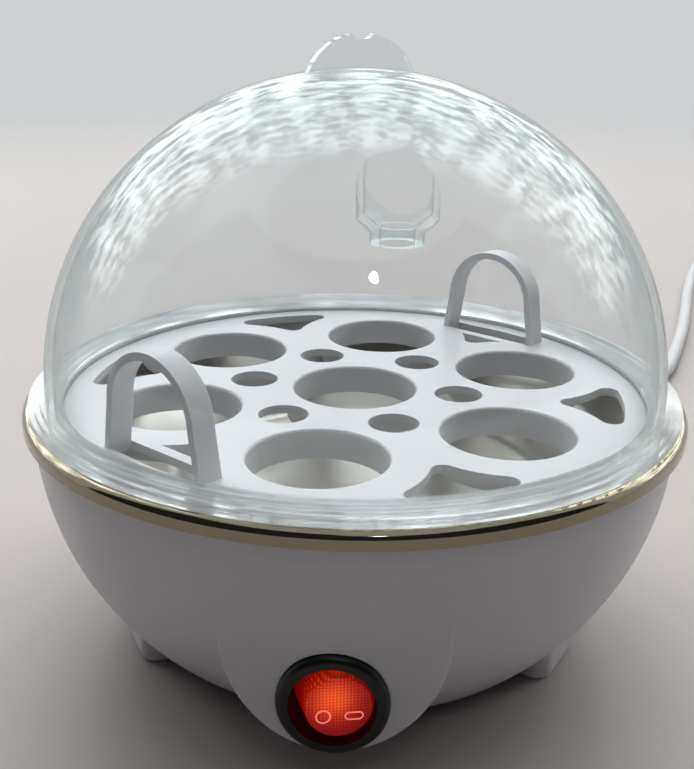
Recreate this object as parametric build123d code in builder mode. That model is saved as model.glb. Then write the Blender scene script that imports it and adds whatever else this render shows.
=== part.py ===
from build123d import *
import math
import os

# Electric egg boiler: clear dome lid, seven-seat egg tray, steel water pan over a ring heater, white bowl
# base with a lit rocker switch, and a mains lead.
# Millimetres. The origin is on the table under the dome's axis, +Z is up and the switch faces -Y.

os.makedirs("parts", exist_ok=True)

# Driving dimensions: the whole boiler
overrun = 2.0  # how far a cutting shape runs past the face that it cuts
tray_height = 58.5  # top face of the egg tray above the table
foot_height = 3.2  # flat bottom of the bowl above the table

# Egg tray: a ring of seats round one more, which sets the widths of the tray, the rim, the lid and the bowl
seat_count = 6  # seats in the ring
seat_angle = 82.9  # direction of the first seat of the ring, degrees
seat_radius = 15.0
seat_spacing = 14.0  # plate between the holes of two seats
seat_edge = 10.0  # plate between a seat's hole and the tray's edge
seat_wall = 1.6
seat_depth = 7.0
seat_lip_round = 0.7
tray_plate = 2.0
steam_hole_radius = 5.8
cutout_neck = 1.5  # plate round a seat beside a cut-out, beyond half of the spacing
cutout_margin = 4.5  # plate left between a cut-out and the tray's edge
cutout_round = 2.6
handle_slots = (0, 3)  # the cut-outs, counted from the first, that carry a handle
handle_band = 5.7  # width of the strap along the tray's radius
handle_margin = 4.9  # plate left between the strap and the tray's edge
handle_thick = 1.7
handle_height = 23.7
handle_half_width = 13.2
handle_splay = 2.0  # each foot of a strap stands this much further out than its side
handle_bar = 2.6  # bar between the slot under a strap and the cut-out inside it

# Water pan: a pressed sheet steel dish with a rolled rim
sheet = 0.8
tray_gap = 1.6  # between the tray's edge and the pan's step
ledge_width = 4.4  # the tray's edge rests on this ledge
ledge_round = 0.5
rim_shelf = 7.9  # flat top of the rim, outside the step
rim_rise = 0.8  # top of the rim above the tray's top face
rim_band = 3.6  # height of the rim's outer band
rim_round = 1.9
pan_floor_round = 6.0
pan_floor_margin = 9.8  # flat floor outside the standoffs' circle
pan_shoulder_inset = 2.7
pan_shoulder_gap = 1.5  # shoulder below the seats' lower edges
pan_shoulder_round = 5.0

# Lid
lid_gap = 0.1  # between the flange and the rim that it stands on
dome_seat = 2.5  # dome outside the pan's step
dome_rise = 70.35
dome_wall = 1.8
dome_upright = 1.0  # upright wall between the flange steps and the dome's curve
flange_margin = 1.5  # rim left bare outside the flange
flange_base = 1.2
flange_steps = 3
flange_step_rise = 0.8
spigot_length = 1.4
spigot_wall = 0.8
spigot_gap = 0.4  # clearance between the spigot and the pan
fin_radius = 13.4
fin_sink = 6.1  # centre of the fin's arc below the dome's top
fin_thick = 2.6
fin_turn = 22.5  # turn of the fin about the vertical, degrees
fin_notch_radius = 3.3
fin_notch_depth = 1.5
well_inset = 25.8  # axis of the steam well inside the dome's foot
well_angle = -78.4  # direction of the steam well, degrees
well_radius = 7.9
well_wall = 1.3
well_drop = 3.2  # underside of the well's floor below the lowest part of its rim
well_bevel = 2.6
spout_inset = 2.7  # spout below the well, narrower than it
spout_length = 2.0
vent_inset = 1.8  # steam vent, narrower than the spout

# Base shell
rim_overhang = 2.4  # rim outside the bowl
base_room = 28.6  # height inside the base for the heater, the switch and the wires
bowl_wall = 2.2
bowl_edge_drop = 4.0  # where the bowl's curve starts, below the tray's top face
bowl_floor_margin = 0.72  # flat bottom outside the feet's circle
pod_sink = 3.3  # flat on the pod that seats the switch, inside the bowl's greatest radius
pod_flat = 0.8  # depth of that flat in the pod's round upright face
pod_flare = 0.634  # how far that face curves outward to run into the bowl
pod_crease = 2.5  # turn left between the pod's face and the bowl where they meet, degrees
pod_tuck = 2.5  # height of the pod inside the bowl above that
pod_radius = 22.7
pod_floor = 8.7  # bottom of the pod above the table
pod_reach = 30.0  # depth of the pod behind its face
pod_edge_round = 1.0
pod_wall = 3.0  # behind the pod's face
pod_skin = 1.6  # below and beside the pod
seat_gap = 0.3  # the switch's flat is this much wider than its bezel
foot_spread = 125.0  # between the two front feet, with the third at the back, degrees
foot_length = 21.0
foot_width = 9.0
foot_flat = 0.3  # half of the flat at a foot's end
foot_gap = 5.7  # between the bottom cover and the feet
foot_edge_round = 1.2
inlet_height = 15.0  # axis of the cord where it enters the base
inlet_pad_margin = 1.2  # pad outside the strain relief's flange
inlet_pad_rise = 2.1  # pad's face in front of the bowl

# Bottom cover and the screws that pull it, the shell and the pan together
cover_lap = 2.5  # cover under the edge of the base's opening
cover_plate = 1.8
cover_spigot_gap = 0.3
cover_spigot_wall = 1.6
vent_count = 9
vent_radius = 2.2
vent_space = 10.4  # between the vents' circle and the screw bosses
screw_count = 3
screw_angle = 0.0
screw_boss_radius = 3.8
screw_boss_margin = 0.5  # between a boss and the edge of the base's opening
screw_radius = 1.5
screw_head_radius = 2.7
screw_head = 2.0
screw_recess = 0.6  # screw head above the cover's underside
screw_gap = 0.05
screw_hole_gap = 0.25
screw_grip = 8.0  # length of thread in a standoff
standoff_radius = 3.0
standoff_length = 18.2
drive_slot = 0.7  # width of the cross recess in a screw's head
drive_depth = 0.9
drive_margin = 1.0  # head left outside the recess

# Thermostat and thermal fuse on the heat plate, which set the size of the heater and of the base's middle
body_radius = 7.9
body_height = 8.2
cap_lap = 0.7  # cap wider than the body
cap_height = 3.0
flange_thick = 0.8
flange_side = 2.6  # flange beside the body
flange_neck_gap = 0.1
flange_end = 1.1  # flange outside its screws' heads
flange_screw_gap = 1.5  # between the cap and those heads
tab_width = 6.3
tab_thick = 0.8
tab_reach = 12.0
small_screw_radius = 1.25
small_screw_length = 4.0
small_head_radius = 2.4
small_head = 1.5
fuse_gap = 1.8  # between the fuse's clip and the thermostat's flange
fuse_radius = 2.5
fuse_half_length = 9.0
fuse_lead_radius = 0.6
fuse_lead_reach = 4.0
fuse_lead_drop = 7.6
fuse_lead_bend = 2.5
clip_thick = 0.6
clip_width = 5.0
clip_gap = 0.1

# Heater under the pan
plate_thick = 3.0
plate_gap = 0.4  # between the heat plate and the standoffs
heater_radius = 3.3
heater_gap = 0.05
heater_clear = 2.08  # between the heater and the fuse's leads
heater_margin = 6.8  # heat plate outside the heater's centre line
heater_open_angle = 30.0  # half of the ring's gap at the back, degrees
heater_bend = 8.0
heater_tail = 10.0
cold_pin_radius = 1.5
cold_pin_length = 6.0
heater_tab_width = 6.3
heater_tab_thick = 1.0
heater_tab_drop = 10.0

# Rocker switch
barrel_radius = 9.8
barrel_wall = 1.2
barrel_depth = 19.5
barrel_back = 2.0
panel_gap = 0.2  # between the barrel and the hole in the pod
bezel_lap = 1.2  # bezel over the hole's edge
bezel_thick = 2.0
bezel_round = 1.8
rocker_gap = 0.5
rocker_tilt = 10.5  # tilt of the rocker from its middle to on, degrees
rocker_depth = 6.0  # the rocker's pivot behind the switch's flat
rocker_rise = 7.86  # the rocker's face in front of its pivot
rocker_back = 2.0
rocker_draft = 1.5  # the rocker's face, narrower than its middle
rocker_edge_round = 0.5
pivot_radius = 1.0
pivot_hold = 0.5  # length of a pivot in the barrel's wall
pivot_gap = 0.05
stem_radius = 2.4
plunger_radius = 1.2
plunger_reach = 1.25
plunger_gap = 0.35  # between the plunger's tip and the contact lever
blade_pitch = 6.0
blade_width = 4.8
blade_thick = 0.8
blade_inside = 2.6
blade_outside = 9.0
lever_gap = 0.6
lever_thick = 0.6
lever_overlap = 0.4  # lever past the outer blades
lever_tilt = 4.0  # tilt of the contact lever, degrees
lever_width = 4.0
lamp_radius = 1.6
lamp_gap = 1.4  # between the lamp and the lever
lamp_end_gap = 1.0  # between the lamp's ends and the barrel
lamp_height = 3.0
resistor_radius = 1.2
resistor_length = 6.5
lamp_leg = 0.8
sleeve_spacing = 1.0  # between two sleeves
sleeve_wall = 1.3  # above and below a blade
sleeve_tail = 6.0  # sleeve past the end of its blade
sleeve_gap = 0.1
sleeve_round = 0.8

# Wires, cord and plug
wire_radius = 1.0
lead_run = 3.6  # straight end of a wire where it meets a terminal
core_offset = 1.5  # the cord's two cores beside its axis
join_spread = 1.4  # wires beside one another in the joint cap
cap_join_radius = 3.4
cap_join_length = 14.0
cord_radius = 2.8
cord_inner_length = 14.0  # cord between its strain relief and its stripped end inside the base
relief_wall = 1.7  # strain relief round the cord, in the shell's hole
relief_hole_gap = 0.1
relief_inside = 8.0
relief_flange_lap = 2.3
relief_flange = 2.2
relief_tail = 24.0
relief_tip_wall = 0.9
relief_taper = 1.5
relief_groove_count = 4
relief_groove = 0.6
relief_groove_width = 1.6
grip_space = 3.5  # between the grip bar and the strain relief
grip_length = 7.0
grip_thick = 3.0
grip_post_radius = 3.0
grip_post_gap = 1.8  # between a post and the cord
grip_end = 0.4  # bar outside its posts
grip_gap = 0.05
coil_gap = 0.6  # between two turns of the coil
coil_layer_gap = 0.5
coil_outer_radius = 33.0
coil_quarters = 10
tie_thick = 0.9
tie_gap = 0.3
tie_width = 5.0
tie_angle = 225.0
plug_neck_width = 13.0
plug_neck_height = 12.0
plug_neck_flat = 1.0  # half of the flat side of the plug's neck
plug_width = 33.0
plug_height = 17.0
plug_neck_length = 14.0
plug_body_length = 22.0
plug_edge_round = 1.5
pin_radius = 2.4
pin_length = 19.0
pin_half_pitch = 9.5
run_share = 0.45  # part of a route's shorter run that a corner's arc may use

# Widths that follow from the egg seats
seat_circle = 2 * seat_radius + seat_spacing
tray_radius = seat_circle + seat_radius + seat_edge
steam_hole_circle = seat_circle / math.sqrt(3)
cutout_web = seat_spacing / 2 + cutout_neck
handle_foot_half_width = handle_half_width + handle_splay
ledge_outer_radius = tray_radius + tray_gap
ledge_inner_radius = ledge_outer_radius - ledge_width
pan_shoulder_radius = ledge_inner_radius - pan_shoulder_inset
rim_radius = ledge_outer_radius + rim_shelf
dome_radius = ledge_outer_radius + dome_seat
flange_radius = rim_radius - flange_margin
well_circle = dome_radius - well_inset
spout_radius = well_radius - spout_inset
steam_vent_radius = spout_radius - vent_inset
bowl_radius = rim_radius - rim_overhang

# Widths that follow from the thermostat and the fuse
cap_radius = body_radius + cap_lap
flange_half_width = body_radius + flange_side
flange_screw_half_span = cap_radius + flange_screw_gap + small_head_radius
flange_half_length = flange_screw_half_span + small_head_radius + flange_end
clip_inner = fuse_radius + clip_gap
clip_outer = clip_inner + clip_thick
fuse_place = flange_half_width + fuse_gap + clip_outer
fuse_lead_end = fuse_half_length + fuse_lead_reach
fuse_corner = math.hypot(fuse_lead_end + fuse_lead_radius, fuse_place)
heater_circle = fuse_corner + heater_clear + heater_radius
plate_radius = heater_circle + heater_margin
screw_circle = plate_radius + plate_gap + standoff_radius
pan_floor_radius = screw_circle + pan_floor_margin
vent_circle = screw_circle - screw_boss_radius - vent_space
base_opening = screw_circle + screw_boss_radius + screw_boss_margin
cover_radius = base_opening + cover_lap
foot_circle = cover_radius + foot_gap + foot_width / 2
foot_corner = foot_width / 2 - foot_flat
bowl_floor_radius = foot_circle + bowl_floor_margin

# Heights and places that follow from the rest
rim_top = tray_height + rim_rise
shell_top = rim_top - sheet
tray_under = tray_height - tray_plate
pan_shoulder_depth = seat_depth + pan_shoulder_gap
bowl_centre = tray_height - bowl_edge_drop
bowl_depth = (bowl_centre - foot_height) / math.sqrt(1 - (bowl_floor_radius / bowl_radius) ** 2)
shell_floor = foot_height + bowl_wall
pan_floor = shell_floor + base_room
plate_top = pan_floor - sheet
plate_under = plate_top - plate_thick
screw_boss_top = plate_top - standoff_length
heater_axis = plate_under - heater_radius - heater_gap
lid_base = rim_top + lid_gap
dome_base = lid_base + flange_base + flange_step_rise * (flange_steps - 1) + dome_upright
dome_top = dome_base + dome_rise
well_rim = dome_base + dome_rise * math.sqrt(1 - ((well_circle + well_radius) / dome_radius) ** 2)
well_floor = well_rim - well_drop
pod_face = bowl_radius - pod_sink
pod_skirt_radius = pod_face + pod_flat
pod_meet_radius = pod_skirt_radius + pod_flare
pod_meet_drop = bowl_depth * math.sqrt(1 - (pod_meet_radius / bowl_radius) ** 2)
pod_meet = bowl_centre - pod_meet_drop
bowl_slope = math.atan(pod_meet_drop * bowl_radius**2 / (pod_meet_radius * bowl_depth**2))
pod_lean = bowl_slope - math.radians(pod_crease)
pod_centre = pod_floor + pod_radius
panel_hole_radius = barrel_radius + panel_gap
bezel_radius = panel_hole_radius + bezel_lap
switch_height = pod_floor + bezel_radius
switch_axis = Vector(0, -pod_face, switch_height)
rocker_pivot = switch_axis + Vector(0, rocker_depth, 0)
barrel_inner = barrel_radius - barrel_wall
barrel_floor = barrel_depth - barrel_back
rocker_radius = barrel_inner - rocker_gap
pivot_length = rocker_gap + pivot_hold
blade_top = barrel_floor - blade_inside
lever_back = blade_top - lever_gap
lever_half_length = blade_pitch + lever_overlap
stem_start = rocker_depth + rocker_back
stem_length = lever_back - lever_thick - plunger_gap - plunger_reach - stem_start
lamp_place = lever_width / 2 + lamp_gap + lamp_radius
lamp_length = 2 * (math.sqrt(barrel_inner**2 - (lamp_place + lamp_radius) ** 2) - lamp_end_gap)
sleeve_width = blade_pitch - sleeve_spacing
sleeve_height = blade_width + 2 * sleeve_wall
sleeve_length = blade_outside + sleeve_tail
relief_body_radius = cord_radius + relief_wall
relief_flange_radius = relief_body_radius + relief_flange_lap
relief_tip_radius = cord_radius + relief_tip_wall
relief_tail_radius = relief_tip_radius + relief_taper
inlet_pad_radius = relief_flange_radius + inlet_pad_margin
bowl_at_inlet = bowl_radius * math.sqrt(1 - ((bowl_centre - inlet_height) / bowl_depth) ** 2)
inlet_pad_face = bowl_at_inlet + inlet_pad_rise
relief_end = inlet_pad_face + relief_flange + relief_tail
relief_start = inlet_pad_face - relief_inside
cord_strip = relief_start - cord_inner_length
grip_place = relief_start - grip_space - grip_length / 2
grip_post_place = cord_radius + grip_post_gap + grip_post_radius
grip_width = 2 * (grip_post_place + grip_post_radius + grip_end)
coil_pitch = 2 * cord_radius + coil_gap
coil_layer = 2 * cord_radius + coil_layer_gap
plug_corner = plug_neck_height / 2 - plug_neck_flat


def around(radius, angle, height=0):
    """Point at a distance and direction from the boiler's axis."""
    turn = math.radians(angle)
    return (radius * math.cos(turn), radius * math.sin(turn), height)


def sheet_face(points, rounds, thick):
    """Face of a strip of sheet that runs along the points, below them, with its bends rounded."""
    here = [Vector(*point) for point in points]
    normals = [(b - a).normalized().rotate(Axis.Z, -90) for a, b in zip(here, here[1:])]
    under = [here[0] + normals[0] * thick]
    under_rounds = []
    for corner, before, after, bend in zip(here[1:], normals, normals[1:], rounds):
        half = (before + after).normalized()
        under.append(corner + half * (thick / half.dot(before)))
        turn_left = before.cross(after).Z > 0
        under_rounds.append(bend + thick if turn_left else max(bend - thick, thick / 4))
    under.append(here[-1] + normals[-1] * thick)
    with BuildSketch() as strip:
        with BuildLine():
            FilletPolyline(*points, radius=rounds)
            Line(here[-1], under[-1])
            FilletPolyline(*[(spot.X, spot.Y) for spot in under], radius=under_rounds)
            Line(under[0], here[0])
        make_face()
    return strip.sketch


def corner_radii(points):
    """Largest arcs that the runs of a route leave room for, one for each corner."""
    spots = [Vector(*point) for point in points]
    radii = []
    for before, corner, after in zip(spots, spots[1:], spots[2:]):
        run_in = corner - before
        run_out = after - corner
        half_turn = math.radians(run_in.get_angle(run_out)) / 2
        radii.append(run_share * min(run_in.length, run_out.length) / math.tan(half_turn))
    return radii


def tube(label, points, radius):
    """Round tube along a route, with every corner rounded as far as its runs allow."""
    radii = corner_radii(points)
    with BuildPart() as run:
        with BuildLine() as path:
            FilletPolyline(*points, radius=radii)
        route = path.wire()
        with BuildSketch(Plane(route @ 0, z_dir=route % 0)):
            Circle(radius)
        sweep()
    expected = math.pi * radius**2 * route.length
    print(label, "length", round(route.length, 1), "least bend", round(min(radii), 1),
          "volume share", round(run.part.volume / expected, 4))
    run.part.label = label
    return run


def save(piece, label):
    """Name a finished piece and write it."""
    piece.part.label = label
    export_step(piece.part, f"parts/{label}.step")


# Water pan
pan_line = [
    (0, pan_floor),
    (pan_floor_radius, pan_floor),
    (pan_shoulder_radius, tray_height - pan_shoulder_depth),
    (ledge_inner_radius, tray_under),
    (ledge_outer_radius, tray_under),
    (ledge_outer_radius, rim_top),
    (rim_radius, rim_top),
    (rim_radius, rim_top - rim_band),
]
pan_rounds = [pan_floor_round, pan_shoulder_round, ledge_round, ledge_round, ledge_round + sheet, rim_round]
with BuildPart() as water_pan:
    with BuildSketch(Plane.XZ):
        add(sheet_face(pan_line, pan_rounds, sheet))
    revolve(axis=Axis.Z)
save(water_pan, "water_pan")

# Egg tray: plate, seats with skirts, steam holes, cut-outs and two strap handles
seat_angles = [seat_angle + 360 / seat_count * k for k in range(seat_count)]
seat_spots = [(0, 0)] + [around(seat_circle, angle)[:2] for angle in seat_angles]
cutout_angle = seat_angle - 180 / seat_count
cutout_radius = tray_radius - cutout_margin
handle_outer = tray_radius - handle_margin
handle_inner = handle_outer - handle_band
handle_arch = handle_height - handle_half_width
with BuildSketch() as cutout:
    Circle(cutout_radius)
    with Locations(*seat_spots[1:]):
        Circle(seat_radius + cutout_web, mode=Mode.SUBTRACT)
cutout_faces = cutout.sketch.faces().sort_by_distance((0, 0))
with BuildSketch() as seat_webs:
    for face in cutout_faces[1:]:
        add(face)
    fillet(seat_webs.vertices(), cutout_round)
handle_planes = [
    Plane(
        origin=around(handle_inner, cutout_angle + 360 / seat_count * slot, tray_under),
        x_dir=around(1, cutout_angle + 360 / seat_count * slot + 90),
        z_dir=around(1, cutout_angle + 360 / seat_count * slot),
    )
    for slot in handle_slots
]
with BuildPart() as egg_tray:
    with BuildSketch(Plane.XY.offset(tray_under)):
        Circle(tray_radius)
    extrude(amount=tray_plate)
    with BuildSketch(Plane.XY.offset(tray_height)):
        with Locations(*seat_spots):
            Circle(seat_radius + seat_wall)
    extrude(amount=-seat_depth)
    with BuildSketch(Plane.XY.offset(tray_height)):
        with Locations(*seat_spots):
            Circle(seat_radius)
        with PolarLocations(steam_hole_circle, seat_count, start_angle=cutout_angle):
            Circle(steam_hole_radius)
        add(seat_webs.sketch)
    extrude(amount=-seat_depth - overrun, mode=Mode.SUBTRACT)
    for plane in handle_planes:
        # the bar that closes the cut-out inside the slot between a strap's feet
        with BuildSketch(Plane(plane.origin - plane.z_dir * handle_bar, plane.x_dir, plane.z_dir)):
            with Locations((0, tray_plate / 2)):
                Rectangle(2 * handle_foot_half_width, tray_plate)
        extrude(amount=handle_bar + handle_band)
        with BuildSketch(plane):
            with Locations((0, tray_plate / 2)):
                Rectangle(2 * (handle_foot_half_width - handle_thick), tray_plate + overrun)
        extrude(amount=handle_band, mode=Mode.SUBTRACT)
        with BuildSketch(plane):
            with BuildLine():
                Polyline(
                    (-handle_half_width, tray_plate + handle_arch),
                    (-handle_foot_half_width, 0),
                    (handle_foot_half_width, 0),
                    (handle_half_width, tray_plate + handle_arch),
                )
                ThreePointArc(
                    (handle_half_width, tray_plate + handle_arch),
                    (0, tray_plate + handle_height),
                    (-handle_half_width, tray_plate + handle_arch),
                )
            make_face()
            with BuildLine():
                Polyline(
                    (-handle_half_width + handle_thick, tray_plate + handle_arch),
                    (-handle_foot_half_width + handle_thick, 0),
                    (handle_foot_half_width - handle_thick, 0),
                    (handle_half_width - handle_thick, tray_plate + handle_arch),
                )
                ThreePointArc(
                    (handle_half_width - handle_thick, tray_plate + handle_arch),
                    (0, tray_plate + handle_height - handle_thick),
                    (-handle_half_width + handle_thick, tray_plate + handle_arch),
                )
            make_face(mode=Mode.SUBTRACT)
        extrude(amount=handle_band)
    top_edges = egg_tray.edges().filter_by_position(Axis.Z, tray_height, tray_height)
    top_circles = top_edges.filter_by(GeomType.CIRCLE)
    seat_lips = top_circles.filter_by(lambda lip: abs(lip.radius - seat_radius) < seat_lip_round)
    fillet(seat_lips, seat_lip_round)
save(egg_tray, "egg_tray")

# Lid: dome with stepped flange and spigot, top fin and steam well
spigot_outer = ledge_outer_radius - spigot_gap
spigot_inner = spigot_outer - spigot_wall
dome_inner_radius = dome_radius - dome_wall
dome_inner_rise = dome_rise - dome_wall
step_width = (flange_radius - dome_radius) / flange_steps
step_points = []
for step in range(flange_steps):
    step_height = lid_base + flange_base + flange_step_rise * step
    step_points.append((flange_radius - step_width * step, step_height))
    step_points.append((flange_radius - step_width * (step + 1), step_height))
with BuildPart() as dome_solid:
    with BuildSketch(Plane.XZ):
        with BuildLine():
            EllipticalCenterArc((0, dome_base), dome_radius, dome_rise, start_angle=0, arc_size=90)
            Polyline((0, dome_top), (0, lid_base), (dome_radius, lid_base), (dome_radius, dome_base))
        make_face()
    revolve(axis=Axis.Z)
with BuildPart() as dome_hollow:
    with BuildSketch(Plane.XZ):
        with BuildLine():
            EllipticalCenterArc(
                (0, dome_base), dome_inner_radius, dome_inner_rise, start_angle=0, arc_size=90
            )
            Polyline(
                (0, dome_base + dome_inner_rise),
                (0, rim_top - spigot_length - overrun),
                (spigot_inner, rim_top - spigot_length - overrun),
                (spigot_inner, lid_base + flange_base),
                (dome_inner_radius, lid_base + flange_base),
                (dome_inner_radius, dome_base),
            )
        make_face()
    revolve(axis=Axis.Z)
fin_plane = Plane(
    origin=(0, 0, dome_top - fin_sink), x_dir=around(1, fin_turn), z_dir=around(1, fin_turn - 90)
)
well_spot = around(well_circle, well_angle)
well_plane = Plane(origin=(well_spot[0], well_spot[1], well_floor), x_dir=(1, 0, 0), z_dir=(0, -1, 0))
well_axis = Axis(well_plane.origin, (0, 0, 1))
with BuildPart() as steam_well:
    with BuildSketch(well_plane):
        with BuildLine():
            Polyline(
                (0, -spout_length),
                (spout_radius, -spout_length),
                (spout_radius, 0),
                (well_radius, well_bevel),
                (well_radius, dome_rise),
                (0, dome_rise),
                close=True,
            )
        make_face()
    revolve(axis=well_axis)
    add(dome_solid.part, mode=Mode.INTERSECT)
with BuildPart() as steam_well_bore:
    with BuildSketch(well_plane):
        with BuildLine():
            Polyline(
                (0, -spout_length - overrun),
                (steam_vent_radius, -spout_length - overrun),
                (steam_vent_radius, well_wall),
                (spout_radius - well_wall, well_wall),
                (well_radius - well_wall, well_bevel + well_wall),
                (well_radius - well_wall, dome_rise),
                (0, dome_rise),
                close=True,
            )
        make_face()
    revolve(axis=well_axis)
with BuildPart() as lid:
    add(dome_solid.part)
    with BuildSketch(Plane.XZ):
        with BuildLine():
            Polyline(
                (0, rim_top - spigot_length),
                (spigot_outer, rim_top - spigot_length),
                (spigot_outer, lid_base),
                (flange_radius, lid_base),
                *step_points,
                (0, step_points[-1][1]),
                close=True,
            )
        make_face()
    revolve(axis=Axis.Z)
    with BuildSketch(fin_plane):
        Circle(fin_radius)
        with Locations((0, fin_radius - fin_notch_depth + fin_notch_radius)):
            Circle(fin_notch_radius, mode=Mode.SUBTRACT)
    extrude(amount=fin_thick / 2, both=True)
    add(dome_hollow.part, mode=Mode.SUBTRACT)
    add(steam_well.part)
    add(steam_well_bore.part, mode=Mode.SUBTRACT)
save(lid, "lid")


def bowl_face(radius, depth, floor):
    """Half profile of the bowl, from its flat floor up past its edge."""
    floor_turn = math.degrees(math.asin((floor - bowl_centre) / depth))
    floor_radius = radius * math.cos(math.radians(floor_turn))
    with BuildSketch() as half:
        with BuildLine():
            middle = (0, bowl_centre)
            EllipticalCenterArc(middle, radius, depth, start_angle=floor_turn, arc_size=-floor_turn)
            Polyline(
                (radius, bowl_centre),
                (radius, shell_top),
                (0, shell_top),
                (0, floor),
                (floor_radius, floor),
            )
        make_face()
    return half.sketch


def pod_face_outline(radius):
    """Front outline of the switch pod: a half circle below and straight sides above."""
    top = shell_top - bowl_edge_drop
    with BuildSketch() as outline:
        with BuildLine():
            arc = CenterArc((0, pod_centre), radius, 180, 180)
            Polyline(arc @ 1, (radius, top), (-radius, top), arc @ 0)
        make_face()
    return outline.sketch


def skirt_face():
    """Half profile of the pod: an upright face that curves outward to run into the bowl."""
    curve_radius = pod_flare / (1 - math.cos(pod_lean))
    curve_start = pod_meet - curve_radius * math.sin(pod_lean)
    top = pod_meet + pod_tuck
    root = pod_face - pod_reach
    with BuildSketch() as half:
        with BuildLine():
            face = Polyline(
                (root, top),
                (root, foot_height),
                (pod_skirt_radius, foot_height),
                (pod_skirt_radius, curve_start),
            )
            curve = TangentArc(face @ 1, (pod_meet_radius, pod_meet), tangent=(0, 1))
            Polyline(curve @ 1, (pod_meet_radius + pod_tuck * math.tan(pod_lean), top), (root, top))
        make_face()
    return half.sketch


# Base shell: bowl, switch pod, feet and the pad where the cord enters
pod_plane = Plane(origin=(0, -pod_face, 0), x_dir=(1, 0, 0), z_dir=(0, -1, 0))
foot_places = [-90 - foot_spread / 2, -90 + foot_spread / 2, 90]
grip_floor = inlet_height - cord_radius - grip_gap
with BuildPart() as pod_hollow:
    with BuildSketch(pod_plane):
        add(pod_face_outline(pod_radius - pod_skin))
    extrude(amount=-pod_reach)
    Cylinder(pod_skirt_radius - pod_wall, 2 * shell_top, mode=Mode.INTERSECT)
with BuildPart() as bowl_hollow:
    with BuildSketch(Plane.XZ):
        add(bowl_face(bowl_radius - bowl_wall, bowl_depth - bowl_wall, shell_floor))
    revolve(axis=Axis.Z)
    add(pod_hollow.part)
with BuildPart() as switch_pod:
    with BuildSketch(Plane.XZ):
        add(skirt_face())
    revolve(axis=Axis.Z)
    with BuildSketch(pod_plane.offset(overrun)):
        add(pod_face_outline(pod_radius))
    extrude(amount=-pod_reach - overrun, mode=Mode.INTERSECT)
    rim_back = -pod_skirt_radius + pod_radius / 2
    pod_rim = switch_pod.edges().filter_by(lambda edge: edge.center().Y < rim_back)
    pod_rim = pod_rim.filter_by(lambda edge: edge.bounding_box().size.Z > pod_edge_round)
    fillet(pod_rim, pod_edge_round)
with BuildPart() as base_shell:
    with BuildSketch(Plane.XZ):
        add(bowl_face(bowl_radius, bowl_depth, foot_height))
    revolve(axis=Axis.Z)
    add(switch_pod.part)
    with BuildSketch(pod_plane):
        with Locations((0, switch_height)):
            Circle(bezel_radius + seat_gap)
    extrude(amount=pod_wall, mode=Mode.SUBTRACT)
    with BuildSketch(Plane.XZ.offset(-inlet_pad_face)):
        with Locations((0, inlet_height)):
            Circle(inlet_pad_radius)
    extrude(amount=inlet_pad_radius * 2)
    with BuildSketch(Plane.XZ.offset(-inlet_pad_face)):
        with Locations((0, inlet_height)):
            Circle(inlet_pad_radius)
    extrude(amount=-inlet_pad_radius, mode=Mode.SUBTRACT)
    with BuildSketch(Plane.XY):
        for place in foot_places:
            with Locations(Location(around(foot_circle, place), place + 90)):
                RectangleRounded(foot_length, foot_width, foot_corner)
    extrude(amount=foot_height * 3)
    foot_edges = base_shell.faces().filter_by(Plane.XY).group_by(Axis.Z)[0].edges()
    fillet(foot_edges, foot_edge_round)
    add(bowl_hollow.part, mode=Mode.SUBTRACT)
    # saddle and posts of the cord grip
    with BuildSketch(Plane.XY.offset(shell_floor)):
        with Locations((0, grip_place)):
            Rectangle(grip_width, grip_length)
    extrude(amount=grip_floor - shell_floor)
    with BuildSketch(Plane.XY.offset(grip_floor)):
        with Locations((-grip_post_place, grip_place), (grip_post_place, grip_place)):
            Circle(grip_post_radius)
    extrude(amount=2 * (cord_radius + grip_gap))
    with BuildSketch(Plane.XY.offset(grip_floor + 2 * (cord_radius + grip_gap))):
        with Locations((-grip_post_place, grip_place), (grip_post_place, grip_place)):
            Circle(small_screw_radius + screw_gap)
    extrude(amount=-small_screw_length - screw_gap, mode=Mode.SUBTRACT)
    # openings for the switch, the cord and the bottom cover
    with BuildSketch(pod_plane.offset(overrun)):
        with Locations((0, switch_height)):
            Circle(panel_hole_radius)
    extrude(amount=-barrel_depth - 2 * overrun, mode=Mode.SUBTRACT)
    with BuildSketch(Plane.XZ.offset(-inlet_pad_face - overrun)):
        with Locations((0, inlet_height)):
            Circle(relief_body_radius + relief_hole_gap)
    extrude(amount=relief_inside + 2 * overrun, mode=Mode.SUBTRACT)
    with BuildSketch(Plane.XY):
        Circle(base_opening)
    extrude(amount=shell_floor + overrun, mode=Mode.SUBTRACT)
save(base_shell, "base_shell")

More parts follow.
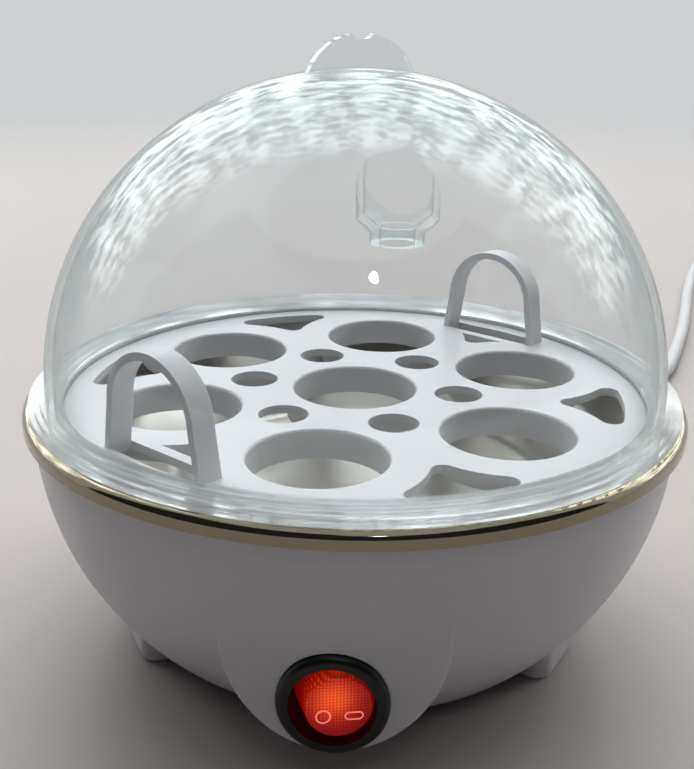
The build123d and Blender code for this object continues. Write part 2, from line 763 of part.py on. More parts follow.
# Bottom cover, its screws and the pan's standoffs
cover_top = foot_height
cover_under = cover_top - cover_plate
cover_spigot = base_opening - cover_spigot_gap
screw_seat = cover_under + screw_recess + screw_head
screw_places = PolarLocations(screw_circle, screw_count, start_angle=screw_angle)
drive_span = 2 * (screw_head_radius - drive_margin)
small_drive_span = 2 * (small_head_radius - drive_margin)
with BuildPart() as bottom_cover:
    with BuildSketch(Plane.XY.offset(cover_under)):
        Circle(cover_radius)
    extrude(amount=cover_plate)
    with BuildSketch(Plane.XY.offset(cover_top)):
        Circle(cover_spigot)
        Circle(cover_spigot - cover_spigot_wall, mode=Mode.SUBTRACT)
    extrude(amount=bowl_wall)
    with BuildSketch(Plane.XY.offset(cover_under)):
        with screw_places:
            Circle(screw_boss_radius)
    extrude(amount=screw_boss_top - cover_under)
    with BuildSketch(Plane.XY.offset(cover_under)):
        with screw_places:
            Circle(screw_radius + screw_hole_gap)
        with PolarLocations(vent_circle, vent_count):
            Circle(vent_radius)
    extrude(amount=screw_boss_top, mode=Mode.SUBTRACT)
    with BuildSketch(Plane.XY.offset(cover_under)):
        with screw_places:
            Circle(screw_head_radius + screw_hole_gap)
    extrude(amount=screw_recess + screw_head, mode=Mode.SUBTRACT)
save(bottom_cover, "bottom_cover")

with BuildPart() as cover_screws:
    with BuildSketch(Plane.XY.offset(screw_seat)):
        with screw_places:
            Circle(screw_head_radius)
    extrude(amount=-screw_head)
    with BuildSketch(Plane.XY.offset(screw_seat - screw_head)):
        with screw_places:
            Rectangle(drive_span, drive_slot)
            Rectangle(drive_slot, drive_span)
    extrude(amount=drive_depth, mode=Mode.SUBTRACT)
    with BuildSketch(Plane.XY.offset(screw_seat)):
        with screw_places:
            Circle(screw_radius)
    extrude(amount=screw_boss_top + screw_grip - screw_seat)
save(cover_screws, "cover_screws")

with BuildPart() as pan_standoffs:
    with BuildSketch(Plane.XY.offset(screw_boss_top)):
        with screw_places:
            Circle(standoff_radius)
    extrude(amount=plate_top - screw_boss_top)
    with BuildSketch(Plane.XY.offset(screw_boss_top)):
        with screw_places:
            Circle(screw_radius + screw_gap)
    extrude(amount=screw_grip + screw_radius, mode=Mode.SUBTRACT)
save(pan_standoffs, "pan_standoffs")

# Heat plate with the thermostat's screw holes, and the ring heater below it
flange_screws = Locations((-flange_screw_half_span, 0), (flange_screw_half_span, 0))
with BuildPart() as heat_plate:
    with BuildSketch(Plane.XY.offset(plate_under)):
        Circle(plate_radius)
    extrude(amount=plate_thick)
    with BuildSketch(Plane.XY.offset(plate_under)):
        with flange_screws:
            Circle(small_screw_radius + screw_gap)
    extrude(amount=plate_thick - sheet, mode=Mode.SUBTRACT)
save(heat_plate, "heat_plate")

ring_start = 90 + heater_open_angle
with BuildPart() as heater_tube:
    with BuildLine(Plane.XY.offset(heater_axis)):
        ring = CenterArc((0, 0), heater_circle, ring_start, 360 - 2 * heater_open_angle)
        bend_right = JernArc(ring @ 1, ring % 1, heater_bend, -90 + heater_open_angle)
        tail_right = Line(bend_right @ 1, (bend_right @ 1) + (bend_right % 1) * heater_tail)
        bend_left = JernArc(ring @ 0, (ring % 0) * -1, heater_bend, 90 - heater_open_angle)
        tail_left = Line(bend_left @ 1, (bend_left @ 1) + (bend_left % 1) * heater_tail)
    tail_right_end = tail_right @ 1
    tail_left_end = tail_left @ 1
    with BuildSketch(Plane(tail_left_end, z_dir=(0, -1, 0))):
        Circle(heater_radius)
    sweep()
save(heater_tube, "heater_tube")

tail_ends = [tail_left_end, tail_right_end]
with BuildPart() as heater_pins:
    for end in tail_ends:
        with BuildSketch(Plane(end, z_dir=(0, 1, 0))):
            Circle(cold_pin_radius)
        extrude(amount=cold_pin_length)
save(heater_pins, "heater_pins")

with BuildPart() as heater_tabs:
    for end in tail_ends:
        with BuildSketch(Plane(end + Vector(0, cold_pin_length, 0), x_dir=(1, 0, 0), z_dir=(0, 1, 0))):
            with Locations((0, heater_tab_drop / 2)):
                Rectangle(heater_tab_width, heater_tab_drop + 2 * cold_pin_radius)
        extrude(amount=heater_tab_thick)
save(heater_tabs, "heater_tabs")

# Thermostat, held against the heat plate by its flange
cap_under = plate_under - cap_height
flange_top = plate_under
body_under = cap_under - body_height
with BuildPart() as thermostat_cap:
    with BuildSketch(Plane.XY.offset(plate_under)):
        Circle(body_radius)
    extrude(amount=-cap_height)
    with BuildSketch(Plane.XY.offset(plate_under - flange_thick)):
        Circle(cap_radius)
    extrude(amount=flange_thick - cap_height)
save(thermostat_cap, "thermostat_cap")

with BuildPart() as thermostat_flange:
    with BuildSketch(Plane.XY.offset(flange_top)):
        SlotOverall(2 * flange_half_length, 2 * flange_half_width)
        Circle(body_radius + flange_neck_gap, mode=Mode.SUBTRACT)
        with flange_screws:
            Circle(small_screw_radius + screw_hole_gap, mode=Mode.SUBTRACT)
    extrude(amount=-flange_thick)
save(thermostat_flange, "thermostat_flange")

with BuildPart() as thermostat_screws:
    with BuildSketch(Plane.XY.offset(flange_top - flange_thick)):
        with flange_screws:
            Circle(small_head_radius)
    extrude(amount=-small_head)
    with BuildSketch(Plane.XY.offset(flange_top - flange_thick - small_head)):
        with flange_screws:
            Rectangle(small_drive_span, drive_slot)
            Rectangle(drive_slot, small_drive_span)
    extrude(amount=drive_depth, mode=Mode.SUBTRACT)
    with BuildSketch(Plane.XY.offset(flange_top - flange_thick)):
        with flange_screws:
            Circle(small_screw_radius)
    extrude(amount=plate_thick - sheet)
save(thermostat_screws, "thermostat_screws")

with BuildPart() as thermostat_body:
    with BuildSketch(Plane.XY.offset(cap_under)):
        Circle(body_radius)
    extrude(amount=-body_height)
save(thermostat_body, "thermostat_body")

with BuildPart() as thermostat_tabs:
    with BuildSketch(Plane.XY.offset(body_under)):
        with Locations((0, -tab_reach / 2 - tab_width / 2), (0, tab_reach / 2 + tab_width / 2)):
            Rectangle(tab_width, tab_reach)
    extrude(amount=-tab_thick)
save(thermostat_tabs, "thermostat_tabs")
thermostat_tab_end = tab_reach + tab_width / 2
thermostat_tab_axis = body_under - tab_thick / 2

# Thermal fuse in its sleeve, with bent leads and the clip that holds it to the plate
fuse_axis = plate_under - fuse_radius - clip_gap
fuse_lead_foot = fuse_axis - fuse_lead_drop
with BuildPart() as thermal_fuse:
    with BuildSketch(Plane(origin=(-fuse_half_length, fuse_place, fuse_axis), z_dir=(1, 0, 0))):
        Circle(fuse_radius)
    extrude(amount=2 * fuse_half_length)
    for side in (-1, 1):
        with BuildLine() as lead:
            FilletPolyline(
                (side * fuse_half_length, fuse_place, fuse_axis),
                (side * fuse_lead_end, fuse_place, fuse_axis),
                (side * fuse_lead_end, fuse_place, fuse_lead_foot),
                radius=fuse_lead_bend,
            )
        with BuildSketch(Plane(lead.line @ 0, z_dir=lead.line % 0)):
            Circle(fuse_lead_radius)
        sweep(path=lead.line)
save(thermal_fuse, "thermal_fuse")

clip_plane = Plane(origin=(-clip_width / 2, fuse_place, fuse_axis), x_dir=(0, 1, 0), z_dir=(1, 0, 0))
with BuildPart() as fuse_clip:
    with BuildSketch(clip_plane):
        Circle(clip_outer)
        with Locations((0, clip_inner / 2)):
            Rectangle(2 * clip_outer, clip_inner)
        with Locations((0, clip_inner + clip_outer / 2)):
            Rectangle(2 * clip_outer, clip_outer, mode=Mode.SUBTRACT)
        Circle(clip_inner, mode=Mode.SUBTRACT)
        with Locations((0, clip_inner / 2)):
            Rectangle(2 * clip_inner, clip_inner, mode=Mode.SUBTRACT)
    extrude(amount=clip_width)
save(fuse_clip, "fuse_clip")

# Switch bezel: flange, barrel with a back, pivot holes and blade slots
switch_plane = Plane(origin=switch_axis, x_dir=(1, 0, 0), z_dir=(0, -1, 0))
blade_places = [-blade_pitch, 0, blade_pitch]
pivot_plane = Plane(origin=rocker_pivot, z_dir=(0, 0, 1))
with BuildPart() as switch_bezel:
    with BuildSketch(switch_plane):
        Circle(bezel_radius)
    extrude(amount=bezel_thick)
    fillet(switch_bezel.faces().sort_by(Axis.Y)[0].edges(), bezel_round)
    with BuildSketch(switch_plane):
        Circle(barrel_radius)
    extrude(amount=-barrel_depth)
    with BuildSketch(switch_plane.offset(-barrel_floor)):
        Circle(barrel_inner)
    extrude(amount=barrel_floor + bezel_thick, mode=Mode.SUBTRACT)
    with BuildSketch(pivot_plane.offset(-rocker_radius - pivot_length - pivot_gap)):
        Circle(pivot_radius + pivot_gap)
    extrude(amount=2 * (rocker_radius + pivot_length + pivot_gap), mode=Mode.SUBTRACT)
    with BuildSketch(switch_plane.offset(-barrel_floor)):
        with Locations(*[(place, 0) for place in blade_places]):
            Rectangle(blade_thick, blade_width)
    extrude(amount=-barrel_back, mode=Mode.SUBTRACT)
save(switch_bezel, "switch_bezel")

# Rocker in its middle position: a tapered round button on a deep pivot, then tipped to on
rocker_plane = switch_plane.offset(-rocker_depth)
with BuildPart() as rocker_middle:
    with BuildSketch(rocker_plane):
        Circle(rocker_radius)
    with BuildSketch(rocker_plane.offset(rocker_rise)):
        Circle(rocker_radius - rocker_draft)
    loft()
    fillet(rocker_middle.faces().sort_by(Axis.Y)[0].edges(), rocker_edge_round)
    with BuildSketch(rocker_plane):
        Circle(rocker_radius)
    extrude(amount=-rocker_back, taper=rocker_tilt)
    with BuildSketch(pivot_plane.offset(-rocker_radius - pivot_length)):
        Circle(pivot_radius)
    extrude(amount=2 * (rocker_radius + pivot_length))
    with BuildSketch(switch_plane.offset(-stem_start)):
        Circle(stem_radius)
    extrude(amount=-stem_length)
    with BuildSketch(switch_plane.offset(-stem_start)):
        Circle(plunger_radius + screw_gap)
    extrude(amount=-stem_length, mode=Mode.SUBTRACT)
with BuildPart() as plunger_middle:
    with BuildSketch(switch_plane.offset(-stem_start)):
        Circle(plunger_radius)
    extrude(amount=-stem_length - plunger_reach + plunger_radius)
    with Locations(switch_axis + Vector(0, stem_start + stem_length + plunger_reach - plunger_radius, 0)):
        Sphere(plunger_radius)
rocker_axis = Axis(rocker_pivot, (0, 0, 1))
with BuildPart() as switch_rocker:
    add(rocker_middle.part.rotate(rocker_axis, rocker_tilt))
save(switch_rocker, "switch_rocker")
with BuildPart() as switch_plunger:
    add(plunger_middle.part.rotate(rocker_axis, rocker_tilt))
save(switch_plunger, "switch_plunger")

# Blades, contact lever, lamp and resistor inside the switch, and the sleeves on the blades
with BuildPart() as switch_blades:
    with BuildSketch(switch_plane.offset(-blade_top)):
        with Locations(*[(place, 0) for place in blade_places]):
            Rectangle(blade_thick, blade_width)
    extrude(amount=-blade_inside - barrel_back - blade_outside)
save(switch_blades, "switch_blades")

lever_y = -pod_face + lever_back - lever_thick / 2
with BuildPart() as lever_middle:
    with Locations((0, lever_y, switch_height)):
        Box(2 * lever_half_length, lever_thick, lever_width)
lever_axis = Axis((0, lever_y, switch_height), (0, 0, 1))
with BuildPart() as contact_lever:
    add(lever_middle.part.rotate(lever_axis, -lever_tilt))
save(contact_lever, "contact_lever")

lamp_y = -pod_face + barrel_floor - lamp_height
with BuildPart() as switch_lamp:
    with BuildSketch(Plane((-lamp_length / 2, lamp_y, switch_height + lamp_place), z_dir=(1, 0, 0))):
        Circle(lamp_radius)
    extrude(amount=lamp_length)
    with BuildSketch(switch_plane.offset(-barrel_floor)):
        with Locations((0, lamp_place)), GridLocations(lamp_length - 2 * lamp_leg, 0, 2, 1):
            Rectangle(lamp_leg, lamp_leg)
    extrude(amount=lamp_height)
save(switch_lamp, "switch_lamp")

with BuildPart() as lamp_resistor:
    with BuildSketch(Plane((-resistor_length / 2, lamp_y, switch_height - lamp_place), z_dir=(1, 0, 0))):
        Circle(resistor_radius)
    extrude(amount=resistor_length)
    with BuildSketch(switch_plane.offset(-barrel_floor)):
        with Locations((0, -lamp_place)), GridLocations(resistor_length - 2 * lamp_leg, 0, 2, 1):
            Rectangle(lamp_leg, lamp_leg)
    extrude(amount=lamp_height)
save(lamp_resistor, "lamp_resistor")

sleeve_start = barrel_depth
with BuildPart() as blade_sleeves:
    with BuildSketch(switch_plane.offset(-sleeve_start)):
        with Locations(*[(place, 0) for place in blade_places]):
            RectangleRounded(sleeve_width, sleeve_height, sleeve_round)
    extrude(amount=-sleeve_length)
    with BuildSketch(switch_plane.offset(-sleeve_start)):
        with Locations(*[(place, 0) for place in blade_places]):
            Rectangle(blade_thick + 2 * sleeve_gap, blade_width + 2 * sleeve_gap)
    extrude(amount=-blade_outside - sleeve_gap, mode=Mode.SUBTRACT)
save(blade_sleeves, "blade_sleeves")
sleeve_end = -pod_face + sleeve_start + sleeve_length

# Strain relief, cord inside the base and the bar that grips it
relief_slope = (relief_tail_radius - relief_tip_radius) / relief_tail
groove_pitch = relief_tail / (relief_groove_count + 1)
with BuildPart() as strain_relief:
    with BuildSketch(Plane(origin=(0, 0, inlet_height), x_dir=(1, 0, 0), z_dir=(0, 0, 1))):
        with BuildLine():
            Polyline(
                (0, relief_start),
                (relief_body_radius, relief_start),
                (relief_body_radius, inlet_pad_face),
                (relief_flange_radius, inlet_pad_face),
                (relief_flange_radius, inlet_pad_face + relief_flange),
                (relief_tail_radius, inlet_pad_face + relief_flange),
                (relief_tip_radius, relief_end),
                (0, relief_end),
                close=True,
            )
        make_face()
        for groove in range(relief_groove_count):
            along = groove_pitch * (groove + 1)
            groove_radius = relief_tail_radius - relief_slope * along
            with Locations((groove_radius, inlet_pad_face + relief_flange + along)):
                Rectangle(2 * relief_groove, relief_groove_width, mode=Mode.SUBTRACT)
    revolve(axis=Axis((0, 0, inlet_height), (0, 1, 0)))
save(strain_relief, "strain_relief")

with BuildPart() as cord_inner:
    with BuildSketch(Plane(origin=(0, cord_strip, inlet_height), z_dir=(0, 1, 0))):
        Circle(cord_radius)
    extrude(amount=cord_inner_length)
save(cord_inner, "cord_inner")

grip_top = grip_floor + 2 * (cord_radius + grip_gap)
with BuildPart() as cord_grip:
    with BuildSketch(Plane.XY.offset(grip_top)):
        with Locations((0, grip_place)):
            RectangleRounded(grip_width, grip_length, grip_length / 4)
        with Locations((-grip_post_place, grip_place), (grip_post_place, grip_place)):
            Circle(small_screw_radius + screw_hole_gap, mode=Mode.SUBTRACT)
    extrude(amount=grip_thick)
save(cord_grip, "cord_grip")

with BuildPart() as grip_screws:
    with BuildSketch(Plane.XY.offset(grip_top + grip_thick)):
        with Locations((-grip_post_place, grip_place), (grip_post_place, grip_place)):
            Circle(small_head_radius)
    extrude(amount=small_head)
    with BuildSketch(Plane.XY.offset(grip_top + grip_thick + small_head)):
        with Locations((-grip_post_place, grip_place), (grip_post_place, grip_place)):
            Rectangle(small_drive_span, drive_slot)
            Rectangle(drive_slot, small_drive_span)
    extrude(amount=-drive_depth, mode=Mode.SUBTRACT)
    with BuildSketch(Plane.XY.offset(grip_top + grip_thick)):
        with Locations((-grip_post_place, grip_place), (grip_post_place, grip_place)):
            Circle(small_screw_radius)
    extrude(amount=-grip_thick - small_screw_length)
save(grip_screws, "grip_screws")

# Wires inside the base. Their middle points are shares of the flat bottom's radius and of the pan's height.
switched_lead_shares = [(-0.093, -0.561, 0.592), (-0.026, -0.408, 0.540)]
live_lead_shares = [
    (-0.019, 0.686, 0.368),
    (0.038, 0.520, 0.279),
    (0.093, 0.259, 0.244),
    (0.112, -0.074, 0.244),
    (0.085, -0.300, 0.280),
    (0.030, -0.460, 0.410),
    (0, -0.562, 0.563),
]
lamp_lead_shares = [
    (0.142, -0.561, 0.566),
    (0.275, -0.390, 0.430),
    (0.437, -0.182, 0.323),
    (0.466, 0.073, 0.279),
    (0.416, 0.297, 0.270),
    (0.367, 0.444, 0.270),
]
fuse_lead_shares = [
    (0, 0.364, 0.516),
    (0.087, 0.408, 0.413),
    (0.195, 0.381, 0.372),
    (0.239, 0.313, 0.413),
]
heater_lead_shares = [
    (-0.230, 0.415, 0.310),
    (-0.204, 0.575, 0.286),
    (-0.178, 0.742, 0.292),
]
neutral_lead_shares = [
    (0.185, 0.716, 0.348),
    (0.231, 0.528, 0.361),
    (0.297, 0.454, 0.356),
]
neutral_core_shares = [
    (0.066, 0.705, 0.368),
    (0.111, 0.575, 0.294),
    (0.176, 0.454, 0.265),
    (0.256, 0.412, 0.265),
    (0.303, 0.463, 0.270),
]
cap_join_place_shares = (0.333, 0.556, 0.294)


def inside(shares):
    """Points in the base from shares of the flat bottom's radius and of the pan's height."""
    return [(x * bowl_floor_radius, y * bowl_floor_radius, z * pan_floor) for x, y, z in shares]


join_x, join_y, join_z = inside([cap_join_place_shares])[0]
sleeve_ends = [(place, sleeve_end, switch_height) for place in blade_places]
tab_foot = heater_axis - cold_pin_radius - heater_tab_drop
tab_y = tail_left_end.Y + cold_pin_length + heater_tab_thick / 2
wire_routes = {
    "switched_lead": [
        sleeve_ends[0],
        (-blade_pitch, sleeve_end + lead_run, switch_height),
        *inside(switched_lead_shares),
        (0, -thermostat_tab_end - lead_run, thermostat_tab_axis),
        (0, -thermostat_tab_end, thermostat_tab_axis),
    ],
    "live_lead": [
        (-core_offset, cord_strip, inlet_height),
        (-core_offset, cord_strip - lead_run, inlet_height),
        *inside(live_lead_shares),
        (0, sleeve_end + lead_run, switch_height),
        sleeve_ends[1],
    ],
    "lamp_lead": [
        sleeve_ends[2],
        (blade_pitch, sleeve_end + lead_run, switch_height),
        *inside(lamp_lead_shares),
        (join_x + join_spread, join_y - lead_run, join_z - join_spread / 2),
        (join_x + join_spread, join_y, join_z - join_spread / 2),
    ],
    "fuse_lead": [
        (0, thermostat_tab_end, thermostat_tab_axis),
        (0, thermostat_tab_end + lead_run, thermostat_tab_axis),
        *inside(fuse_lead_shares),
        (fuse_lead_end, fuse_place, fuse_lead_foot - lead_run),
        (fuse_lead_end, fuse_place, fuse_lead_foot),
    ],
    "heater_lead": [
        (-fuse_lead_end, fuse_place, fuse_lead_foot),
        (-fuse_lead_end, fuse_place, fuse_lead_foot - lead_run),
        *inside(heater_lead_shares),
        (tail_left_end.X, tab_y, tab_foot - lead_run),
        (tail_left_end.X, tab_y, tab_foot),
    ],
    "neutral_lead": [
        (tail_right_end.X, tab_y, tab_foot),
        (tail_right_end.X, tab_y, tab_foot - lead_run),
        *inside(neutral_lead_shares),
        (join_x, join_y - lead_run, join_z + join_spread),
        (join_x, join_y, join_z + join_spread),
    ],
    "neutral_core": [
        (core_offset, cord_strip, inlet_height),
        (core_offset, cord_strip - lead_run, inlet_height),
        *inside(neutral_core_shares),
        (join_x - join_spread, join_y - lead_run, join_z - join_spread / 2),
        (join_x - join_spread, join_y, join_z - join_spread / 2),
    ],
}
for wire_name, wire_route in wire_routes.items():
    wire = tube(wire_name, wire_route, wire_radius)
    save(wire, wire_name)

with BuildPart() as joint_cap:
    with BuildSketch(Plane(origin=(join_x, join_y, join_z), z_dir=(0, 1, 0))):
        Circle(cap_join_radius)
    extrude(amount=cap_join_length)
    fillet(joint_cap.faces().sort_by(Axis.Y)[-1].edges(), cap_join_radius / 2)
save(joint_cap, "joint_cap")

# Mains cord: the stretch on the table, the put-away coil with its tie, and the tail to the plug
floor_axis = cord_radius
coil_axis = cord_radius + tie_thick + tie_gap
cord_route = [
    (0, relief_end, inlet_height),
    (0, 108, inlet_height),
    (3, 125, 11.8),
    (13, 140, 7),
    (29, 149.5, 3.8),
    (50, 153, floor_axis),
    (72, 154.5, floor_axis),
    (90, 158, floor_axis),
    (106, 165, floor_axis),
    (122, 180, floor_axis),
    (134, 213, floor_axis),
    (150, 262, floor_axis),
    (166, 322, floor_axis),
    (181, 372, floor_axis),
    (193.5, 399.5, coil_axis),
    (204, 414, coil_axis),
]
cord_stretch = tube("cord_stretch", cord_route, cord_radius)
save(cord_stretch, "cord_stretch")

coil_entry = Vector(*cord_route[-1])
coil_heading = (coil_entry - Vector(*cord_route[-2])).normalized()
coil_side = coil_heading.rotate(Axis.Z, -90)
coil_begin = coil_entry + coil_heading * (2 * cord_radius)
coil_centre = coil_begin + coil_side * coil_outer_radius
coil_turns = coil_quarters / 4


def coil_spot(turns):
    """Point on the coil and its direction there, counted in turns from its outer end."""
    depth = min(turns, coil_turns - turns)
    radius = coil_outer_radius - coil_pitch * depth
    drift = 0 if abs(turns - coil_turns / 2) < 1 / 8 else math.copysign(coil_pitch, turns - coil_turns / 2)
    climb = min(max((turns - coil_turns / 2) * 2 + 1 / 2, 0), 1)
    lift = 0 if climb in (0, 1) else 2 * coil_layer
    out = (coil_side * -1).rotate(Axis.Z, -360 * turns)
    along = out.rotate(Axis.Z, -90)
    spot = coil_centre + out * radius + Vector(0, 0, coil_layer * climb)
    heading = along * (2 * math.pi * radius) + out * drift + Vector(0, 0, lift)
    return spot, heading.normalized()


coil_spots = [coil_spot(quarter / 4) for quarter in range(coil_quarters + 1)]
coil_spots[0] = (coil_spots[0][0], coil_heading)
coil_spots[-1] = (coil_spots[-1][0], coil_heading.rotate(Axis.Z, -360 * coil_turns))
coil_exit = coil_spots[-1][0] + coil_spots[-1][1] * (2 * cord_radius)
with BuildPart() as cord_coil:
    with BuildLine() as coil_path:
        Line(coil_entry, coil_begin)
        for (start, start_way), (end, end_way) in zip(coil_spots, coil_spots[1:]):
            span = end - start
            ways = start_way + end_way
            room = 2 * (1 - start_way.dot(end_way))
            reach = (math.sqrt(span.dot(ways) ** 2 + room * span.dot(span)) - span.dot(ways)) / room
            middle = ((start + start_way * reach) + (end - end_way * reach)) / 2
            middle_way = (end - end_way * reach) - (start + start_way * reach)
            TangentArc(start, middle, tangent=start_way)
            TangentArc(middle, end, tangent=middle_way)
        Line(coil_spots[-1][0], coil_exit)
    with BuildSketch(Plane(coil_entry, z_dir=coil_heading)):
        Circle(cord_radius)
    sweep()
save(cord_coil, "cord_coil")

sample_count = 400
coil_route = coil_path.wire()
samples = [coil_route @ (k / sample_count) for k in range(sample_count + 1)]
skip = round(sample_count / coil_turns / 2)
least_gap = min(
    (samples[a] - samples[b]).length - 2 * cord_radius
    for a in range(sample_count + 1)
    for b in range(a + skip, sample_count + 1)
)
coil_expected = math.pi * cord_radius**2 * coil_route.length
print("coil length", round(coil_route.length, 1), "least gap to itself", round(least_gap, 2),
      "volume share", round(cord_coil.part.volume / coil_expected, 4))

tie_turn = tie_angle / 360
tie_low = coil_spot(tie_turn)[0]
tie_high = coil_spot(tie_turn + 1)[0]
tie_centre = (tie_low + tie_high) / 2
tie_out = (coil_side * -1).rotate(Axis.Z, -tie_angle)
tie_inner_width = 2 * (cord_radius + tie_gap) + abs((tie_high - tie_low).dot(tie_out))
tie_inner_height = coil_layer + 2 * (cord_radius + tie_gap)
with BuildPart() as coil_tie:
    with BuildSketch(Plane(origin=tie_centre, x_dir=tie_out, z_dir=tie_out.rotate(Axis.Z, -90))):
        RectangleRounded(tie_inner_width + 2 * tie_thick, tie_inner_height + 2 * tie_thick, cord_radius)
        RectangleRounded(tie_inner_width, tie_inner_height, cord_radius - tie_thick, mode=Mode.SUBTRACT)
    extrude(amount=tie_width / 2, both=True)
save(coil_tie, "coil_tie")

plug_axis = plug_height / 2
tail_way = coil_spots[-1][1]
tail_left = tail_way.rotate(Axis.Z, 90)
tail_along_shares = (0.5, 1.0, 1.5)
tail_aside_shares = (0, 0.13, 0.32)
tail_route = [
    coil_exit,
    coil_exit + (tail_way * tail_along_shares[0] + tail_left * tail_aside_shares[0]) * coil_outer_radius,
    coil_exit + (tail_way * tail_along_shares[1] + tail_left * tail_aside_shares[1]) * coil_outer_radius,
    coil_exit + (tail_way * tail_along_shares[2] + tail_left * tail_aside_shares[2]) * coil_outer_radius,
]
tail_route[2] = Vector(tail_route[2].X, tail_route[2].Y, plug_axis)
tail_route[3] = Vector(tail_route[3].X, tail_route[3].Y, plug_axis)
cord_tail = tube("cord_tail", [(spot.X, spot.Y, spot.Z) for spot in tail_route], cord_radius)
save(cord_tail, "cord_tail")

plug_way = (tail_route[3] - tail_route[2]).normalized()
plug_plane = Plane(origin=tail_route[3], x_dir=plug_way.rotate(Axis.Z, -90), z_dir=plug_way)
with BuildPart() as plug_body:
    with BuildSketch(plug_plane):
        RectangleRounded(plug_neck_width, plug_neck_height, plug_corner)
    with BuildSketch(plug_plane.offset(plug_neck_length)):
        RectangleRounded(plug_width, plug_height, plug_corner)
    loft()
    with BuildSketch(plug_plane.offset(plug_neck_length)):
        RectangleRounded(plug_width, plug_height, plug_corner)
    extrude(amount=plug_body_length)
    plug_front = plug_body.faces().sort_by_distance(plug_plane.origin)[-1]
    fillet(plug_front.edges(), plug_edge_round)
save(plug_body, "plug_body")

with BuildPart() as plug_pins:
    with BuildSketch(plug_plane.offset(plug_neck_length + plug_body_length)):
        with Locations((-pin_half_pitch, 0), (pin_half_pitch, 0)):
            Circle(pin_radius)
    extrude(amount=pin_length)
    pin_tips = plug_pins.faces().sort_by_distance(plug_plane.origin)[-2:]
    fillet(pin_tips.edges(), pin_radius / 2)
save(plug_pins, "plug_pins")
cord_volume = sum(run.part.volume for run in (cord_inner, cord_stretch, cord_coil, cord_tail))
print("cord length", round(cord_volume / (math.pi * cord_radius**2)))
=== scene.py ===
import math

import bmesh
import bpy
from bpy.props import FloatProperty, FloatVectorProperty, PointerProperty
from mathutils import Matrix, Vector


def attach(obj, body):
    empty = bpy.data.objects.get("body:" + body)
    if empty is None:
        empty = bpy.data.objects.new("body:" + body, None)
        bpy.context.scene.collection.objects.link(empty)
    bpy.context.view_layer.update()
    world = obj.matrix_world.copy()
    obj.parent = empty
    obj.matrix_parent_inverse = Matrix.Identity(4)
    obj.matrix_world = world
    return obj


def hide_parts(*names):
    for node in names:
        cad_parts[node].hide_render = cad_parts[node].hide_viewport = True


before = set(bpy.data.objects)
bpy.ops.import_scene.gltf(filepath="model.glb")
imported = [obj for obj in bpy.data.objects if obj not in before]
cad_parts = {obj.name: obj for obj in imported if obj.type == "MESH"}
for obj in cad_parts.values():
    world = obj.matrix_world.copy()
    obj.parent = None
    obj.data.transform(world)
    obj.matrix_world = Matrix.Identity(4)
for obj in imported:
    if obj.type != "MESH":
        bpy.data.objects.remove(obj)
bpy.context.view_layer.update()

bl_info = {
    "name": "Egg boiler",
    "version": (1, 0, 0),
    "blender": (4, 5, 0),
    "location": "View3D > Sidebar > Egg boiler",
    "description": "Finishes, mains lead and stage for the egg boiler",
    "category": "Object",
}

MM = 0.001
PHOTO_WIDTH = 694  # pixels
SENSOR_WIDTH = 36.0  # millimetres
TRAY_HEIGHT = 0.07  # what the lamps aim at


def linear(code):
    """Scene-linear colour of an sRGB hex value."""
    parts = [int(code[k : k + 2], 16) / 255 for k in (0, 2, 4)]
    return tuple(p / 12.92 if p <= 0.04045 else ((p + 0.055) / 1.055) ** 2.4 for p in parts)


SKYLIGHT = (*linear("F2F4F5"), 1.0)


def colour_prop(name, use, code):
    """Colour property, from an sRGB hex value."""
    return FloatVectorProperty(name=name, description=use, default=linear(code), subtype="COLOR")


def length_prop(name, use, metres):
    """Length property."""
    return FloatProperty(name=name, description=use, default=metres, unit="LENGTH")


def angle_prop(name, use, degrees):
    """Angle property."""
    return FloatProperty(
        name=name, description=use, default=math.radians(degrees), subtype="ANGLE"
    )


class BoilerFinishes(bpy.types.PropertyGroup):
    """Colours of the finishes."""

    shell: colour_prop("Shell", "White of the base shell", "DFDFE6")
    tray: colour_prop("Tray", "White of the egg tray", "EAE9EB")
    lid: colour_prop("Lid", "Tint of the clear lid", "F3F7FB")
    steel: colour_prop("Steel", "Satin steel inside the pan", "DEDBD2")
    # the rim's steel is written darker and browner than the satin steel: a painted dark, warm
    # reflection of the shaded table in front
    rim: colour_prop("Rim", "Mirror-polished steel of the pan's rim", "98917E")
    rocker: colour_prop("Rocker", "Red of the switch's rocker", "B80A06")
    glow: colour_prop("Glow", "Light of the lamp behind the rocker", "FF5A22")
    cord: colour_prop("Cord", "White of the mains lead", "CFD1D3")
    floor: colour_prop("Floor", "Pale table top", "BAB2AD")
    backdrop: colour_prop("Backdrop", "Pale backdrop", "CDCFD0")


class BoilerCord(bpy.types.PropertyGroup):
    """Sizes of the mains lead."""

    diameter: length_prop("Diameter", "Thickness of the lead", 5.6 * MM)
    length: length_prop("Length", "Lead from its strain relief to the plug", 0.94)
    coil_radius: length_prop("Coil radius", "Outer turn of the put-away coil", 33 * MM)
    coil_pitch: length_prop("Coil pitch", "Step inward in one turn", 6.2 * MM)
    coil_layer: length_prop("Coil layer", "Height of the upper layer over the lower", 6.1 * MM)


class BoilerView(bpy.types.PropertyGroup):
    """Place and aim of the camera."""

    place: FloatVectorProperty(
        name="Place", description="Camera position", default=(0.0106, -0.2423, 0.1457),
        subtype="TRANSLATION",
    )
    heading: angle_prop("Heading", "Turn to the left of the +Y axis", 2.96)
    pitch: angle_prop("Pitch", "Downward tilt", 19.69)
    roll: angle_prop("Roll", "Turn about the line of sight", 0.85)
    focal: FloatProperty(
        name="Focal length", description="In pixels of the picture's width", default=1049.9
    )


